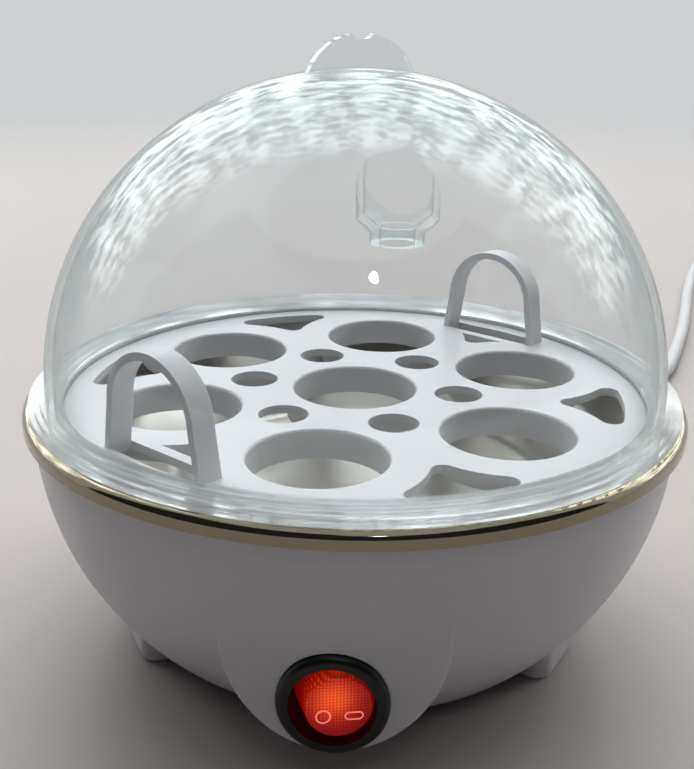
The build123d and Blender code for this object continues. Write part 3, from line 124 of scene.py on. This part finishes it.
def add_node(tree, kind, sockets=None, **settings):
    """Add a shader node, set its options, and fill or link its input sockets."""
    made = tree.nodes.new(kind)
    for name, value in settings.items():
        setattr(made, name, value)
    for name, value in (sockets or {}).items():
        if isinstance(value, bpy.types.NodeSocket):
            tree.links.new(value, made.inputs[name])
        else:
            made.inputs[name].default_value = value
    return made


def object_place(tree):
    """Place on the object, in metres."""
    return add_node(tree, "ShaderNodeTexCoord").outputs["Object"]


def noise(tree, vector, scale, detail):
    """Soft noise from 0 to 1, mostly near its middle."""
    sockets = {"Vector": vector, "Scale": scale, "Detail": detail}
    return add_node(tree, "ShaderNodeTexNoise", sockets).outputs["Fac"]


def remap(tree, value, start, end, low=0.0, high=1.0, shape="LINEAR"):
    """Map one range of values onto another, held at its ends."""
    sockets = {"Value": value, "From Min": start, "From Max": end, "To Min": low, "To Max": high}
    made = add_node(tree, "ShaderNodeMapRange", sockets, interpolation_type=shape)
    return made.outputs["Result"]


def maths(tree, operation, first, second):
    """Combine two values."""
    return add_node(
        tree, "ShaderNodeMath", {0: first, 1: second}, operation=operation
    ).outputs["Value"]


def vector_maths(tree, operation, *vectors):
    """Combine or change vectors."""
    return add_node(
        tree, "ShaderNodeVectorMath", dict(enumerate(vectors)), operation=operation
    ).outputs


def mix_colours(tree, factor, first, second, blend="MIX"):
    """Mix two colours."""
    sockets = {"Factor": factor, "A": first, "B": second}
    made = add_node(tree, "ShaderNodeMix", sockets, data_type="RGBA", blend_type=blend)
    return made.outputs["Result"]


def mix_shaders(tree, factor, first, second):
    """Mix two shaders."""
    sockets = {0: factor, 1: first, 2: second}
    return add_node(tree, "ShaderNodeMixShader", sockets).outputs["Shader"]


def bumped(tree, height, depth, strength):
    """Surface direction that follows a height."""
    sockets = {"Strength": strength, "Distance": depth, "Height": height}
    return add_node(tree, "ShaderNodeBump", sockets).outputs["Normal"]


def principled(tree, sockets):
    """The usual layered shader."""
    return add_node(tree, "ShaderNodeBsdfPrincipled", sockets).outputs["BSDF"]


def new_material(name):
    """Empty material, its tree and the socket for its surface."""
    material = bpy.data.materials.new(name)
    material.use_nodes = True
    tree = material.node_tree
    tree.nodes.clear()
    return material, tree, tree.nodes.new("ShaderNodeOutputMaterial").inputs["Surface"]


def dress(material, *nodes):
    """Give CAD nodes a finish."""
    for name in nodes:
        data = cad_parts[name].data
        data.materials.clear()
        data.materials.append(material)


def coloured_skin(name, colour, roughness, grain_mm, depth_mm, scatter_mm=0.0, glow=0.0):
    """Plastic, ink, glass, or the dark sheet that paints a dark reflection, of an even colour, with
    a soft gloss and a faint grain.
    """
    flow_length = 20 * MM
    material, tree, surface = new_material(name)
    place = object_place(tree)
    # flow marks shift the gloss and the shade a little
    flow = noise(tree, place, 1 / flow_length, 3.0)
    gloss = remap(tree, flow, 0.3, 0.7, roughness * 0.85, roughness * 1.15)
    shade = remap(tree, flow, 0.25, 0.75, 0.965, 1.0)
    tint = mix_colours(tree, 1.0, (*colour, 1.0), shade, "MULTIPLY")
    # the grain is drawn coarser than the real few hundredths so that it shows
    grain = noise(tree, place, 1 / (grain_mm * MM), 2.0)
    skin = principled(
        tree,
        {
            "Base Color": tint,
            "Roughness": gloss,
            "IOR": 1.5,
            "Subsurface Weight": 0.25 if scatter_mm else 0.0,
            "Subsurface Radius": (1.0, 1.0, 1.0),
            "Subsurface Scale": scatter_mm * MM,
            "Emission Color": (*colour, 1.0),
            "Emission Strength": glow,
            "Normal": bumped(tree, grain, depth_mm * MM, 0.35),
        },
    )
    tree.links.new(skin, surface)
    return material


def metal(name, colour, roughness, scratch_mm, stretch=(1.0, 1.0, 1.0)):
    """Bare or plated metal: a mirror-like skin broken by the scratches of its making."""
    scratch_depth = 0.004 * MM
    material, tree, surface = new_material(name)
    along = add_node(
        tree, "ShaderNodeMapping", {"Vector": object_place(tree), "Scale": stretch}
    )
    scratch = noise(tree, along.outputs["Vector"], 1 / (scratch_mm * MM), 4.0)
    skin = principled(
        tree,
        {
            "Base Color": (*colour, 1.0),
            "Metallic": 1.0,
            "Roughness": remap(tree, scratch, 0.3, 0.7, roughness * 0.7, roughness * 1.3),
            "Normal": bumped(tree, scratch, scratch_depth, 0.2),
        },
    )
    tree.links.new(skin, surface)
    return material


def spun_steel(name, satin, mirror):
    """Spun stainless sheet: satin inside with faint rings, and mirror-polished at its rim, whose
    colour is darker and browner than the satin: a painted dark, warm reflection.
    """
    satin_radius, mirror_radius = 71 * MM, 73 * MM
    ring_step, ring_depth = 0.5 * MM, 0.004 * MM
    satin_roughness, mirror_roughness = (0.24, 0.4), 0.09
    material, tree, surface = new_material(name)
    flat = vector_maths(tree, "MULTIPLY", object_place(tree), (1, 1, 0))["Vector"]
    radius = vector_maths(tree, "LENGTH", flat)["Value"]
    polish = remap(tree, radius, satin_radius, mirror_radius)
    # the rings that the spinning tool leaves round the axis
    ring = add_node(
        tree, "ShaderNodeTexNoise", {"W": radius, "Scale": 1 / ring_step}, noise_dimensions="1D"
    ).outputs["Fac"]
    dull = remap(tree, ring, 0.0, 1.0, *satin_roughness)
    gloss = add_node(
        tree, "ShaderNodeMix", {"Factor": polish, "A": dull, "B": mirror_roughness}
    ).outputs["Result"]
    skin = principled(
        tree,
        {
            # towards the rim the colour turns darker and browner: a painted dark reflection
            "Base Color": mix_colours(tree, polish, (*satin, 1.0), (*mirror, 1.0)),
            "Metallic": 1.0,
            "Roughness": gloss,
            "Normal": bumped(tree, ring, ring_depth, 0.15),
        },
    )
    tree.links.new(skin, surface)
    return material


def clear_styrene(name, colour):
    """Clear moulded styrene: a thin mirror-skinned wall, hazy where it is thick or seen along."""
    flange_start, flange_full = 62.9 * MM, 62.3 * MM
    fin_start, fin_full = 132.5 * MM, 134.5 * MM
    straight_on, edge_on = 0.05, 1.0  # share of light that the skin mirrors
    flange_haze, fin_haze, wall_haze, edge_haze = 0.55, 0.1, 0.004, 0.3
    wipe_width = 11 * MM
    wall_tint = (0.97, 0.982, 0.987, 1.0)
    # the mirrored light is dimmed and tinted grey-green: a painted tint of a leafy window's
    # reflection, laid on reflections of the near-white lights
    painted_reflection_tint = (0.62, 0.68, 0.67, 1.0)
    haze_tint = (0.95, 0.97, 0.97, 1.0)
    material, tree, surface = new_material(name)
    place = object_place(tree)
    # wipe marks dull the polish in places
    wipe = noise(tree, place, 1 / wipe_width, 3.0)
    gloss = remap(tree, wipe, 0.35, 0.75, 0.004, 0.02)
    # the thin wall bends light too little to see: light goes straight on and the skin mirrors
    facing = add_node(tree, "ShaderNodeLayerWeight", {"Blend": 0.5}).outputs["Facing"]
    steep = maths(tree, "POWER", facing, 5.0)
    glance = remap(tree, steep, 0.0, 1.0, straight_on, edge_on)
    through = add_node(tree, "ShaderNodeBsdfTransparent", {"Color": wall_tint}).outputs["BSDF"]
    shine = add_node(
        tree, "ShaderNodeBsdfGlossy", {"Color": painted_reflection_tint, "Roughness": gloss}
    ).outputs["BSDF"]
    wall = mix_shaders(tree, glance, through, shine)
    # the thick flange and fin scatter light, and so does the wall where it is seen along
    rise = add_node(tree, "ShaderNodeSeparateXYZ", {"Vector": place}).outputs["Z"]
    flange = remap(tree, rise, flange_start, flange_full, 0.0, flange_haze)
    fin = remap(tree, rise, fin_start, fin_full, 0.0, fin_haze)
    edge = remap(tree, facing, 0.55, 1.0, wall_haze, edge_haze)
    thick = maths(tree, "MAXIMUM", flange, fin)
    haze = maths(tree, "MAXIMUM", thick, edge)
    front = add_node(tree, "ShaderNodeBsdfDiffuse", {"Color": haze_tint}).outputs["BSDF"]
    back = add_node(tree, "ShaderNodeBsdfTranslucent", {"Color": haze_tint}).outputs["BSDF"]
    hazy = mix_shaders(tree, haze, wall, mix_shaders(tree, 0.5, front, back))
    # only the thick places show the bending of light
    skin = principled(
        tree,
        {
            "Base Color": (*colour, 1.0),
            "Roughness": gloss,
            "IOR": 1.57,
            "Transmission Weight": 1.0,
        },
    )
    tree.links.new(mix_shaders(tree, thick, hazy, skin), surface)
    return material


def lit_acrylic(name, colour, glow, centre):
    """Red acrylic with a grid on its back and a lamp behind: hot in the middle, dark at the rim."""
    hot_radius, dark_radius = 0.5 * MM, 9.5 * MM
    rib_step, rib_depth = 0.66 * MM, 0.05 * MM
    rib_light, cell_light = 0.6, 1.9
    rim_power, middle_power = 0.22, 0.8
    wave_scale = math.pi / (10 * rib_step)  # the texture repeats every pi tenths
    material, tree, surface = new_material(name)
    offset = vector_maths(tree, "SUBTRACT", object_place(tree), centre)["Vector"]
    reach = vector_maths(tree, "LENGTH", offset)["Value"]
    heat = remap(tree, reach, hot_radius, dark_radius, 1.0, 0.0, "SMOOTHSTEP")
    ribs = [
        add_node(
            tree, "ShaderNodeTexWave", {"Vector": offset, "Scale": wave_scale},
            wave_type="BANDS", bands_direction=direction,
        ).outputs["Fac"]
        for direction in ("X", "Z")
    ]
    cells = maths(tree, "MULTIPLY", *ribs)
    hot = maths(tree, "POWER", heat, 2.2)
    grid = remap(tree, cells, 0.0, 1.0, rib_light, cell_light)
    warmth = remap(tree, heat, 0.0, 1.0, rim_power, middle_power)
    skin = principled(
        tree,
        {
            "Base Color": (*colour, 1.0),
            "Roughness": 0.16,
            "IOR": 1.49,
            "Emission Color": mix_colours(tree, hot, (*colour, 1.0), (*glow, 1.0)),
            "Emission Strength": maths(tree, "MULTIPLY", grid, warmth),
            "Normal": bumped(tree, cells, rib_depth, 0.35),
        },
    )
    tree.links.new(skin, surface)
    return material


def sight(tree):
    """One for a ray from the eye, straight or by way of a mirror or a lens, nought for light."""
    ray = add_node(tree, "ShaderNodeLightPath").outputs
    mirrored = maths(tree, "MAXIMUM", ray["Is Camera Ray"], ray["Is Glossy Ray"])
    return maths(tree, "MAXIMUM", mirrored, ray["Is Transmission Ray"])


def new_piece(name, data, body, material):
    """Put a mesh or a curve in the scene, riding on a CAD body."""
    piece = bpy.data.objects.new(name, data)
    bpy.context.scene.collection.objects.link(piece)
    data.materials.append(material)
    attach(piece, body)
    return piece


def stage_piece(name, verts, faces, material, seen):
    """Put a part of the stage in the scene."""
    mesh = bpy.data.meshes.new(name)
    mesh.from_pydata(verts, [], faces)
    mesh.materials.append(material)
    piece = bpy.data.objects.new(name, mesh)
    piece.visible_camera = seen
    bpy.context.scene.collection.objects.link(piece)


class BOILER_OT_cord(bpy.types.Operator):
    """Lay the mains lead, its put-away coil and its plug"""

    bl_idname = "boiler.cord"
    bl_label = "Mains lead"

    def execute(self, context):
        sizes = context.scene.boiler_cord
        colours = context.scene.boiler_finishes
        points = self.route(sizes)
        line = bpy.data.curves.new("mains_lead", "CURVE")
        line.dimensions = "3D"
        line.bevel_depth = sizes.diameter / 2
        line.bevel_resolution = 8
        line.resolution_u = 8
        line.use_fill_caps = True
        spline = line.splines.new("NURBS")
        spline.points.add(len(points) - 1)
        for spot, place in zip(spline.points, points):
            spot.co = (*place, 1.0)
        spline.order_u = 3
        spline.use_endpoint_u = True
        # soft PVC sheath: a dull satin white with a faint grain
        sheath = coloured_skin(
            "Extruded PVC sheath", colours.cord,
            roughness=0.42, grain_mm=1.2, depth_mm=0.03, scatter_mm=0.6,
        )
        lead = new_piece("mains_lead", line, "base", sheath)
        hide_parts("cord_stretch", "cord_coil", "cord_tail")
        dress(sheath, "strain_relief", "cord_inner")
        # moulded PVC plug: the same white, a little harder and glossier
        plug = coloured_skin(
            "Moulded PVC plug", colours.cord,
            roughness=0.36, grain_mm=0.7, depth_mm=0.02, scatter_mm=0.5,
        )
        dress(plug, "plug_body")
        pins = metal("Nickel-plated brass pins", linear("D2D0C9"), roughness=0.18, scratch_mm=1.5)
        dress(pins, "plug_pins")
        tie = coloured_skin(
            "Moulded nylon tie", linear("1C1C1E"), roughness=0.4, grain_mm=0.6, depth_mm=0.02
        )
        dress(tie, "coil_tie")
        return {"FINISHED"}

    def route(self, sizes):
        """Control points of the lead: down to the table, back along it, coiled, to the plug."""
        along_table = [
            (0, 92.2, 15), (0, 108, 15), (3, 125, 11.8), (13, 140, 7), (29, 149.5, 3.8),
            (50, 153, 2.8), (72, 154.5, 2.8), (90, 158, 2.8), (106, 165, 2.8), (122, 180, 2.8),
            (134, 213, 2.8), (150, 262, 2.8), (166, 322, 2.8), (181, 372, 2.8),
            (193.5, 399.5, 4.0), (204, 414, 4.0),
        ]
        turns, steps = 2.5, 16
        plug_axis = 8.5 * MM  # height over the table
        points = [Vector(p) * MM for p in along_table]
        heading = (points[-1] - points[-2]).normalized()
        side = Vector((heading.y, -heading.x, 0))
        begin = points[-1] + heading * sizes.diameter
        centre = begin + side * sizes.coil_radius
        # the curve runs inside its control points, so they are set out a little
        spread = math.cos(math.pi / steps / 1.4)
        for k in range(1, int(turns * steps)):
            turn = k / steps
            inward = sizes.coil_pitch * min(turn, turns - turn)
            radius = (sizes.coil_radius - inward) / spread
            climb = min(max((turn - turns / 2) * 2 + 0.5, 0), 1)
            out = Matrix.Rotation(-2 * math.pi * turn, 3, "Z") @ -side
            points.append(centre + out * radius + Vector((0, 0, sizes.coil_layer * climb)))
        last = centre + side * sizes.coil_radius + Vector((0, 0, sizes.coil_layer))
        away = -heading
        left = Vector((-away.y, away.x, 0))
        leave = last + away * sizes.diameter
        reach = sizes.coil_radius
        plug_drop = Vector((0, 0, plug_axis - leave.z))
        points += [last, leave, leave + away * (0.5 * reach)]
        points += [
            leave + (away * forward + left * aside) * reach + plug_drop
            for forward, aside in ((1.0, 0.13), (1.5, 0.32))
        ]
        return points


class BOILER_OT_lid(bpy.types.Operator):
    """Finish the clear dome lid"""

    bl_idname = "boiler.lid"
    bl_label = "Lid"

    def execute(self, context):
        dress(clear_styrene("Moulded clear styrene", context.scene.boiler_finishes.lid), "lid")
        return {"FINISHED"}


class BOILER_OT_tray(bpy.types.Operator):
    """Finish the egg tray"""

    bl_idname = "boiler.tray"
    bl_label = "Egg tray"

    def execute(self, context):
        # polypropylene lets a little light into its skin, so its edges look soft
        tray = coloured_skin(
            "Moulded polypropylene", context.scene.boiler_finishes.tray,
            roughness=0.38, grain_mm=0.9, depth_mm=0.02, scatter_mm=1.2,
        )
        dress(tray, "egg_tray")
        return {"FINISHED"}


class BOILER_OT_base(bpy.types.Operator):
    """Finish the base shell, its cover and the steel pan"""

    bl_idname = "boiler.base"
    bl_label = "Base and pan"

    def execute(self, context):
        colours = context.scene.boiler_finishes
        shell = coloured_skin(
            "Moulded polypropylene shell", colours.shell,
            roughness=0.34, grain_mm=1.0, depth_mm=0.02, scatter_mm=0.8,
        )
        dress(shell, "base_shell", "bottom_cover")
        dress(spun_steel("Spun stainless sheet", colours.steel, colours.rim), "water_pan")
        return {"FINISHED"}


class BOILER_OT_switch(bpy.types.Operator):
    """Finish the lit rocker switch and mark its rocker"""

    bl_idname = "boiler.switch"
    bl_label = "Switch"

    def execute(self, context):
        colours = context.scene.boiler_finishes
        bezel = coloured_skin(
            "Moulded black nylon", linear("08080A"), roughness=0.36, grain_mm=0.6, depth_mm=0.02
        )
        dress(bezel, "switch_bezel")
        tilt = math.radians(10.5)
        pivot = Vector((0, -66.8, 19.9)) * MM
        rise = 7.86  # the rocker's face in front of its pivot, millimetres
        outward = Vector((math.sin(tilt), -math.cos(tilt), 0))
        across = Vector((math.cos(tilt), math.sin(tilt), 0))
        face = pivot + outward * rise * MM
        lamp_spot = face + across * -1.2 * MM + Vector((0, 0, 2.0)) * MM
        rocker = lit_acrylic("Lit red acrylic", colours.rocker, colours.glow, lamp_spot)
        dress(rocker, "switch_rocker")
        self.marks(face, across, outward)
        # brass stampings: plain brass yellow all over
        brass = metal("Stamped brass", linear("C9A65A"), roughness=0.25, scratch_mm=1.2)
        dress(brass, "contact_lever", "switch_blades", "thermostat_tabs")
        nylon = coloured_skin(
            "Moulded natural nylon", linear("DEDACB"),
            roughness=0.4, grain_mm=0.8, depth_mm=0.02, scatter_mm=0.8,
        )
        dress(nylon, "switch_plunger", "blade_sleeves", "joint_cap", "cord_grip")
        glass = coloured_skin(
            "Blown lamp glass", linear("F0D2B0"), roughness=0.08, grain_mm=2.0, depth_mm=0.005
        )
        dress(glass, "switch_lamp")
        lacquer = coloured_skin(
            "Lacquered resistor", linear("B99A6E"), roughness=0.3, grain_mm=0.8, depth_mm=0.01
        )
        dress(lacquer, "lamp_resistor")
        return {"FINISHED"}

    def marks(self, face, across, outward):
        """Raise the off ring and the on bar on the rocker's face."""
        # each mark is a hollow outline, in millimetres: its place on the face, half its straight
        # length, and its section as radius and height
        ring = (-3.15, -1.8, 0.0, ((1.55, -0.05), (1.47, 0.1), (1.28, 0.1), (1.2, -0.05)))
        bar = (2.83, -1.95, 0.95, ((0.95, -0.05), (0.87, 0.1), (0.7, 0.1), (0.62, -0.05)))
        steps = 32
        mesh = bpy.data.meshes.new("rocker_marks")
        form = bmesh.new()
        for right, up, half, section in (ring, bar):
            spot = face + (across * right + Vector((0, 0, up))) * MM
            loops = []
            for radius, height in section:
                loop = []
                for k in range(steps):
                    angle = 2 * math.pi * (k + 0.5) / steps
                    along = math.copysign(half, math.cos(angle)) + radius * math.cos(angle)
                    lift = Vector((0, 0, radius * math.sin(angle)))
                    lift = across * along + outward * height + lift
                    loop.append(form.verts.new(spot + lift * MM))
                loops.append(loop)
            for low, high in zip(loops, loops[1:] + loops[:1]):
                for k in range(steps):
                    form.faces.new((low[k], low[k - 1], high[k - 1], high[k]))
        bmesh.ops.recalc_face_normals(form, faces=form.faces)
        form.to_mesh(mesh)
        form.free()
        # pad-printed marks, a pale pink where the lamp shines through the ink
        ink = coloured_skin(
            "Pad-printed ink", linear("FF8A78"),
            roughness=0.4, grain_mm=0.5, depth_mm=0.01, glow=0.75,
        )
        new_piece("rocker_marks", mesh, "rocker", ink)


class BOILER_OT_inside(bpy.types.Operator):
    """Finish the heater, thermostat, fuse, fasteners and wires"""

    bl_idname = "boiler.inside"
    bl_label = "Inside"

    def execute(self, context):
        turned = metal(
            "Turned aluminium", linear("C9CACC"),
            roughness=0.32, scratch_mm=0.8, stretch=(1.0, 1.0, 3.0),
        )
        dress(turned, "heat_plate", "thermostat_cap")
        # the sheath is annealed, so it is dull and brownish
        sheath = metal("Annealed heater sheath", linear("7C746C"), roughness=0.45, scratch_mm=1.5)
        dress(sheath, "heater_tube")
        plated = metal("Zinc-plated steel", linear("BFC0BC"), roughness=0.3, scratch_mm=1.0)
        dress(plated, "heater_pins", "heater_tabs", "thermostat_flange", "thermostat_screws")
        dress(plated, "fuse_clip", "pan_standoffs", "cover_screws", "grip_screws")
        phenolic = coloured_skin(
            "Moulded phenolic", linear("2A2220"), roughness=0.5, grain_mm=0.6, depth_mm=0.03
        )
        dress(phenolic, "thermostat_body")
        sleeve = coloured_skin(
            "Woven glass sleeve", linear("DCD6C6"), roughness=0.7, grain_mm=0.7, depth_mm=0.12
        )
        dress(sleeve, "thermal_fuse")
        for code, nodes in (
            ("A01818", ("switched_lead", "fuse_lead", "heater_lead")),
            ("5A3218", ("live_lead",)),
            ("1E3C96", ("lamp_lead", "neutral_lead", "neutral_core")),
        ):
            silicone = coloured_skin(
                "Extruded silicone " + nodes[0], linear(code),
                roughness=0.45, grain_mm=0.8, depth_mm=0.02,
            )
            dress(silicone, *nodes)
        return {"FINISHED"}


class BOILER_OT_stage(bpy.types.Operator):
    """Set the floor, the lights, the backdrop and the camera"""

    bl_idname = "boiler.stage"
    bl_label = "Stage"

    def execute(self, context):
        scene = context.scene
        colours = scene.boiler_finishes
        self.camera(scene)
        self.floor(colours)
        self.room(scene, colours)
        self.back_light()
        # the dark sheet in front paints a dark reflection into the rim and the dome
        self.dark_reflection_sheet()
        self.lamps(scene)
        scene.view_settings.view_transform = "Standard"
        return {"FINISHED"}

    def camera(self, scene):
        """Stand where the photograph was taken."""
        view = scene.boiler_view
        level = math.cos(view.pitch)
        ahead = Vector(
            (
                -math.sin(view.heading) * level,
                math.cos(view.heading) * level,
                -math.sin(view.pitch),
            )
        )
        right = Vector((math.cos(view.heading), math.sin(view.heading), 0))
        up = right.cross(ahead)
        rolled_right = right * math.cos(view.roll) + up * math.sin(view.roll)
        rolled_up = up * math.cos(view.roll) - right * math.sin(view.roll)
        camera = bpy.data.objects.new("camera", bpy.data.cameras.new("camera"))
        camera.data.sensor_fit = "HORIZONTAL"
        camera.data.sensor_width = SENSOR_WIDTH
        camera.data.lens = SENSOR_WIDTH * view.focal / PHOTO_WIDTH
        camera.data.clip_start = 0.01
        turn = Matrix((rolled_right, rolled_up, -ahead)).transposed()
        camera.matrix_world = Matrix.Translation(view.place) @ turn.to_4x4()
        scene.collection.objects.link(camera)
        scene.camera = camera

    def floor(self, colours):
        """A pale table top."""
        reach = 4.0
        verts = [(-reach, -reach, 0), (reach, -reach, 0), (reach, reach, 0), (-reach, reach, 0)]
        stage_piece("table", verts, [(0, 1, 2, 3)], self.laminate(colours), True)

    def laminate(self, colours):
        """Satin laminate, all but plain: soft clouds a hand wide in its colour and gloss."""
        cloud_width = 90 * MM
        fade_start, fade_end = 0.45, 1.4
        material, tree, surface = new_material("Satin laminate")
        place = object_place(tree)
        cloud = noise(tree, place, 1 / cloud_width, 3.0)
        shade = remap(tree, cloud, 0.3, 0.7, 0.97, 1.0)
        skin = principled(
            tree,
            {
                "Base Color": mix_colours(tree, 1.0, (*colours.floor, 1.0), shade, "MULTIPLY"),
                "Roughness": remap(tree, cloud, 0.0, 1.0, 0.42, 0.58),
            },
        )
        # seen directly or in a mirror, the far table fades into the pale backdrop
        far = vector_maths(tree, "LENGTH", place)["Value"]
        fade = remap(tree, far, fade_start, fade_end, shape="SMOOTHSTEP")
        seen = maths(tree, "MULTIPLY", fade, sight(tree))
        pale = add_node(tree, "ShaderNodeEmission", {"Color": (*colours.backdrop, 1.0)})
        tree.links.new(mix_shaders(tree, seen, skin, pale.outputs["Emission"]), surface)
        return material

    def room(self, scene, colours):
        """A pale backdrop that gives little light, less in front than behind."""
        front, back = 0.02, 0.2  # strength
        world = bpy.data.worlds.new("room")
        scene.world = world
        world.use_nodes = True
        tree = world.node_tree
        tree.nodes.clear()
        look = add_node(tree, "ShaderNodeTexCoord").outputs["Generated"]
        depth = add_node(tree, "ShaderNodeSeparateXYZ", {"Vector": look}).outputs["Y"]
        walls = remap(tree, depth, -0.8, 0.6, front, back)
        dim = add_node(tree, "ShaderNodeBackground", {"Color": SKYLIGHT, "Strength": walls})
        pale = add_node(
            tree, "ShaderNodeBackground", {"Color": (*colours.backdrop, 1.0), "Strength": 1.0}
        )
        both = mix_shaders(
            tree, sight(tree), dim.outputs["Background"], pale.outputs["Background"]
        )
        out = tree.nodes.new("ShaderNodeOutputWorld")
        tree.links.new(both, out.inputs["Surface"])

    def back_light(self):
        """A broad light on part of a large sphere, behind and above, hidden from the camera."""
        reach, columns, rows = 3.0, 32, 12
        low, height = 2, 86  # degrees over the table
        right, width = 4, 172  # degrees round from the +X axis
        verts, faces = [], []
        for row in range(rows + 1):
            rise = math.radians(low + height * row / rows)
            ring, z = reach * math.cos(rise), reach * math.sin(rise)
            for column in range(columns + 1):
                turn = math.radians(right + width * column / columns)
                verts.append((ring * math.cos(turn), ring * math.sin(turn), z))
        for row in range(rows):
            for column in range(columns):
                near = row * (columns + 1) + column
                faces.append((near, near + columns + 1, near + columns + 2, near + 1))
        stage_piece("window_light", verts, faces, self.daylight(), False)

    def daylight(self):
        """Mottled light: bright in the middle of its sphere, clear at its edges."""
        dim, bright = 0.6, 4.8
        material, tree, surface = new_material("Daylight")
        way = vector_maths(tree, "NORMALIZE", object_place(tree))["Vector"]
        axes = add_node(tree, "ShaderNodeSeparateXYZ", {"Vector": way}).outputs
        # the edges are soft
        behind = remap(tree, axes["Y"], 0.18, 0.34, shape="SMOOTHSTEP")
        above = remap(tree, axes["Z"], 0.08, 0.3, shape="SMOOTHSTEP")
        opening = maths(tree, "MULTIPLY", behind, above)
        # patches a few degrees wide
        patches = remap(tree, noise(tree, way, 14.0, 4.0), 0.43, 0.57, dim, bright)
        glow = add_node(tree, "ShaderNodeEmission", {"Color": SKYLIGHT, "Strength": patches})
        clear = add_node(tree, "ShaderNodeBsdfTransparent")
        both = mix_shaders(tree, opening, clear.outputs["BSDF"], glow.outputs["Emission"])
        tree.links.new(both, surface)
        return material

    def dark_reflection_sheet(self):
        """A dark sheet round the front, hidden from the camera, for the rim and the dome to mirror:
        a painted dark reflection that stands for a shaded room in front.
        """
        reach, low, high, columns = 1.4, 0.06, 2.4, 24
        left, width = 185, 170  # degrees round from the +X axis
        verts = []
        for column in range(columns + 1):
            turn = math.radians(left + width * column / columns)
            x, y = reach * math.cos(turn), reach * math.sin(turn)
            verts += [(x, y, low), (x, y, high)]
        faces = [(2 * k, 2 * k + 2, 2 * k + 3, 2 * k + 1) for k in range(columns)]
        # painted dark reflection: a very dark sheet without gloss, standing for a shaded room
        painted_dark_sheet = coloured_skin(
            "Painted dark reflection sheet", linear("24262A"), roughness=0.95, grain_mm=2.0, depth_mm=0.2
        )
        stage_piece("painted_dark_reflection", verts, faces, painted_dark_sheet, False)

    def lamps(self, scene):
        """A small lamp in front for the dome's bright spot, and a soft box over the tray."""
        # the soft box lights the tray without showing in the dome
        for name, size, energy, spot, mirrored in (
            ("front_lamp", 0.06, 0.35, (0.15, -0.75, 1.05), True),
            ("top_box", 0.3, 0.42, (0.0, -0.05, 0.5), False),
        ):
            lamp = bpy.data.lights.new(name, "AREA")
            lamp.shape = "DISK"
            lamp.size = size
            lamp.energy = energy
            holder = bpy.data.objects.new(name, lamp)
            holder.location = spot
            aim = Vector((0, 0, TRAY_HEIGHT)) - holder.location
            holder.rotation_euler = aim.to_track_quat("-Z", "Y").to_euler()
            holder.visible_glossy = mirrored
            scene.collection.objects.link(holder)


PIECES = (
    BOILER_OT_cord, BOILER_OT_lid, BOILER_OT_tray, BOILER_OT_base, BOILER_OT_switch,
    BOILER_OT_inside, BOILER_OT_stage,
)


class BOILER_PT_panel(bpy.types.Panel):
    """Pieces of the egg boiler"""

    bl_idname = "BOILER_PT_panel"
    bl_label = "Egg boiler"
    bl_space_type = "VIEW_3D"
    bl_region_type = "UI"
    bl_category = "Egg boiler"

    def draw(self, context):
        scene = context.scene
        for piece in PIECES:
            self.layout.operator(piece.bl_idname)
        for group in (scene.boiler_finishes, scene.boiler_cord, scene.boiler_view):
            for name in group.__annotations__:
                self.layout.prop(group, name)


CLASSES = (BoilerFinishes, BoilerCord, BoilerView, *PIECES, BOILER_PT_panel)


def register():
    for item in CLASSES:
        bpy.utils.register_class(item)
    bpy.types.Scene.boiler_finishes = PointerProperty(type=BoilerFinishes)
    bpy.types.Scene.boiler_cord = PointerProperty(type=BoilerCord)
    bpy.types.Scene.boiler_view = PointerProperty(type=BoilerView)


def unregister():
    del bpy.types.Scene.boiler_view
    del bpy.types.Scene.boiler_cord
    del bpy.types.Scene.boiler_finishes
    for item in reversed(CLASSES):
        bpy.utils.unregister_class(item)


def main():
    register()
    bpy.ops.boiler.stage()
    bpy.ops.boiler.cord()
    bpy.ops.boiler.lid()
    bpy.ops.boiler.tray()
    bpy.ops.boiler.base()
    bpy.ops.boiler.switch()
    bpy.ops.boiler.inside()


if __name__ == "__main__":
    main()
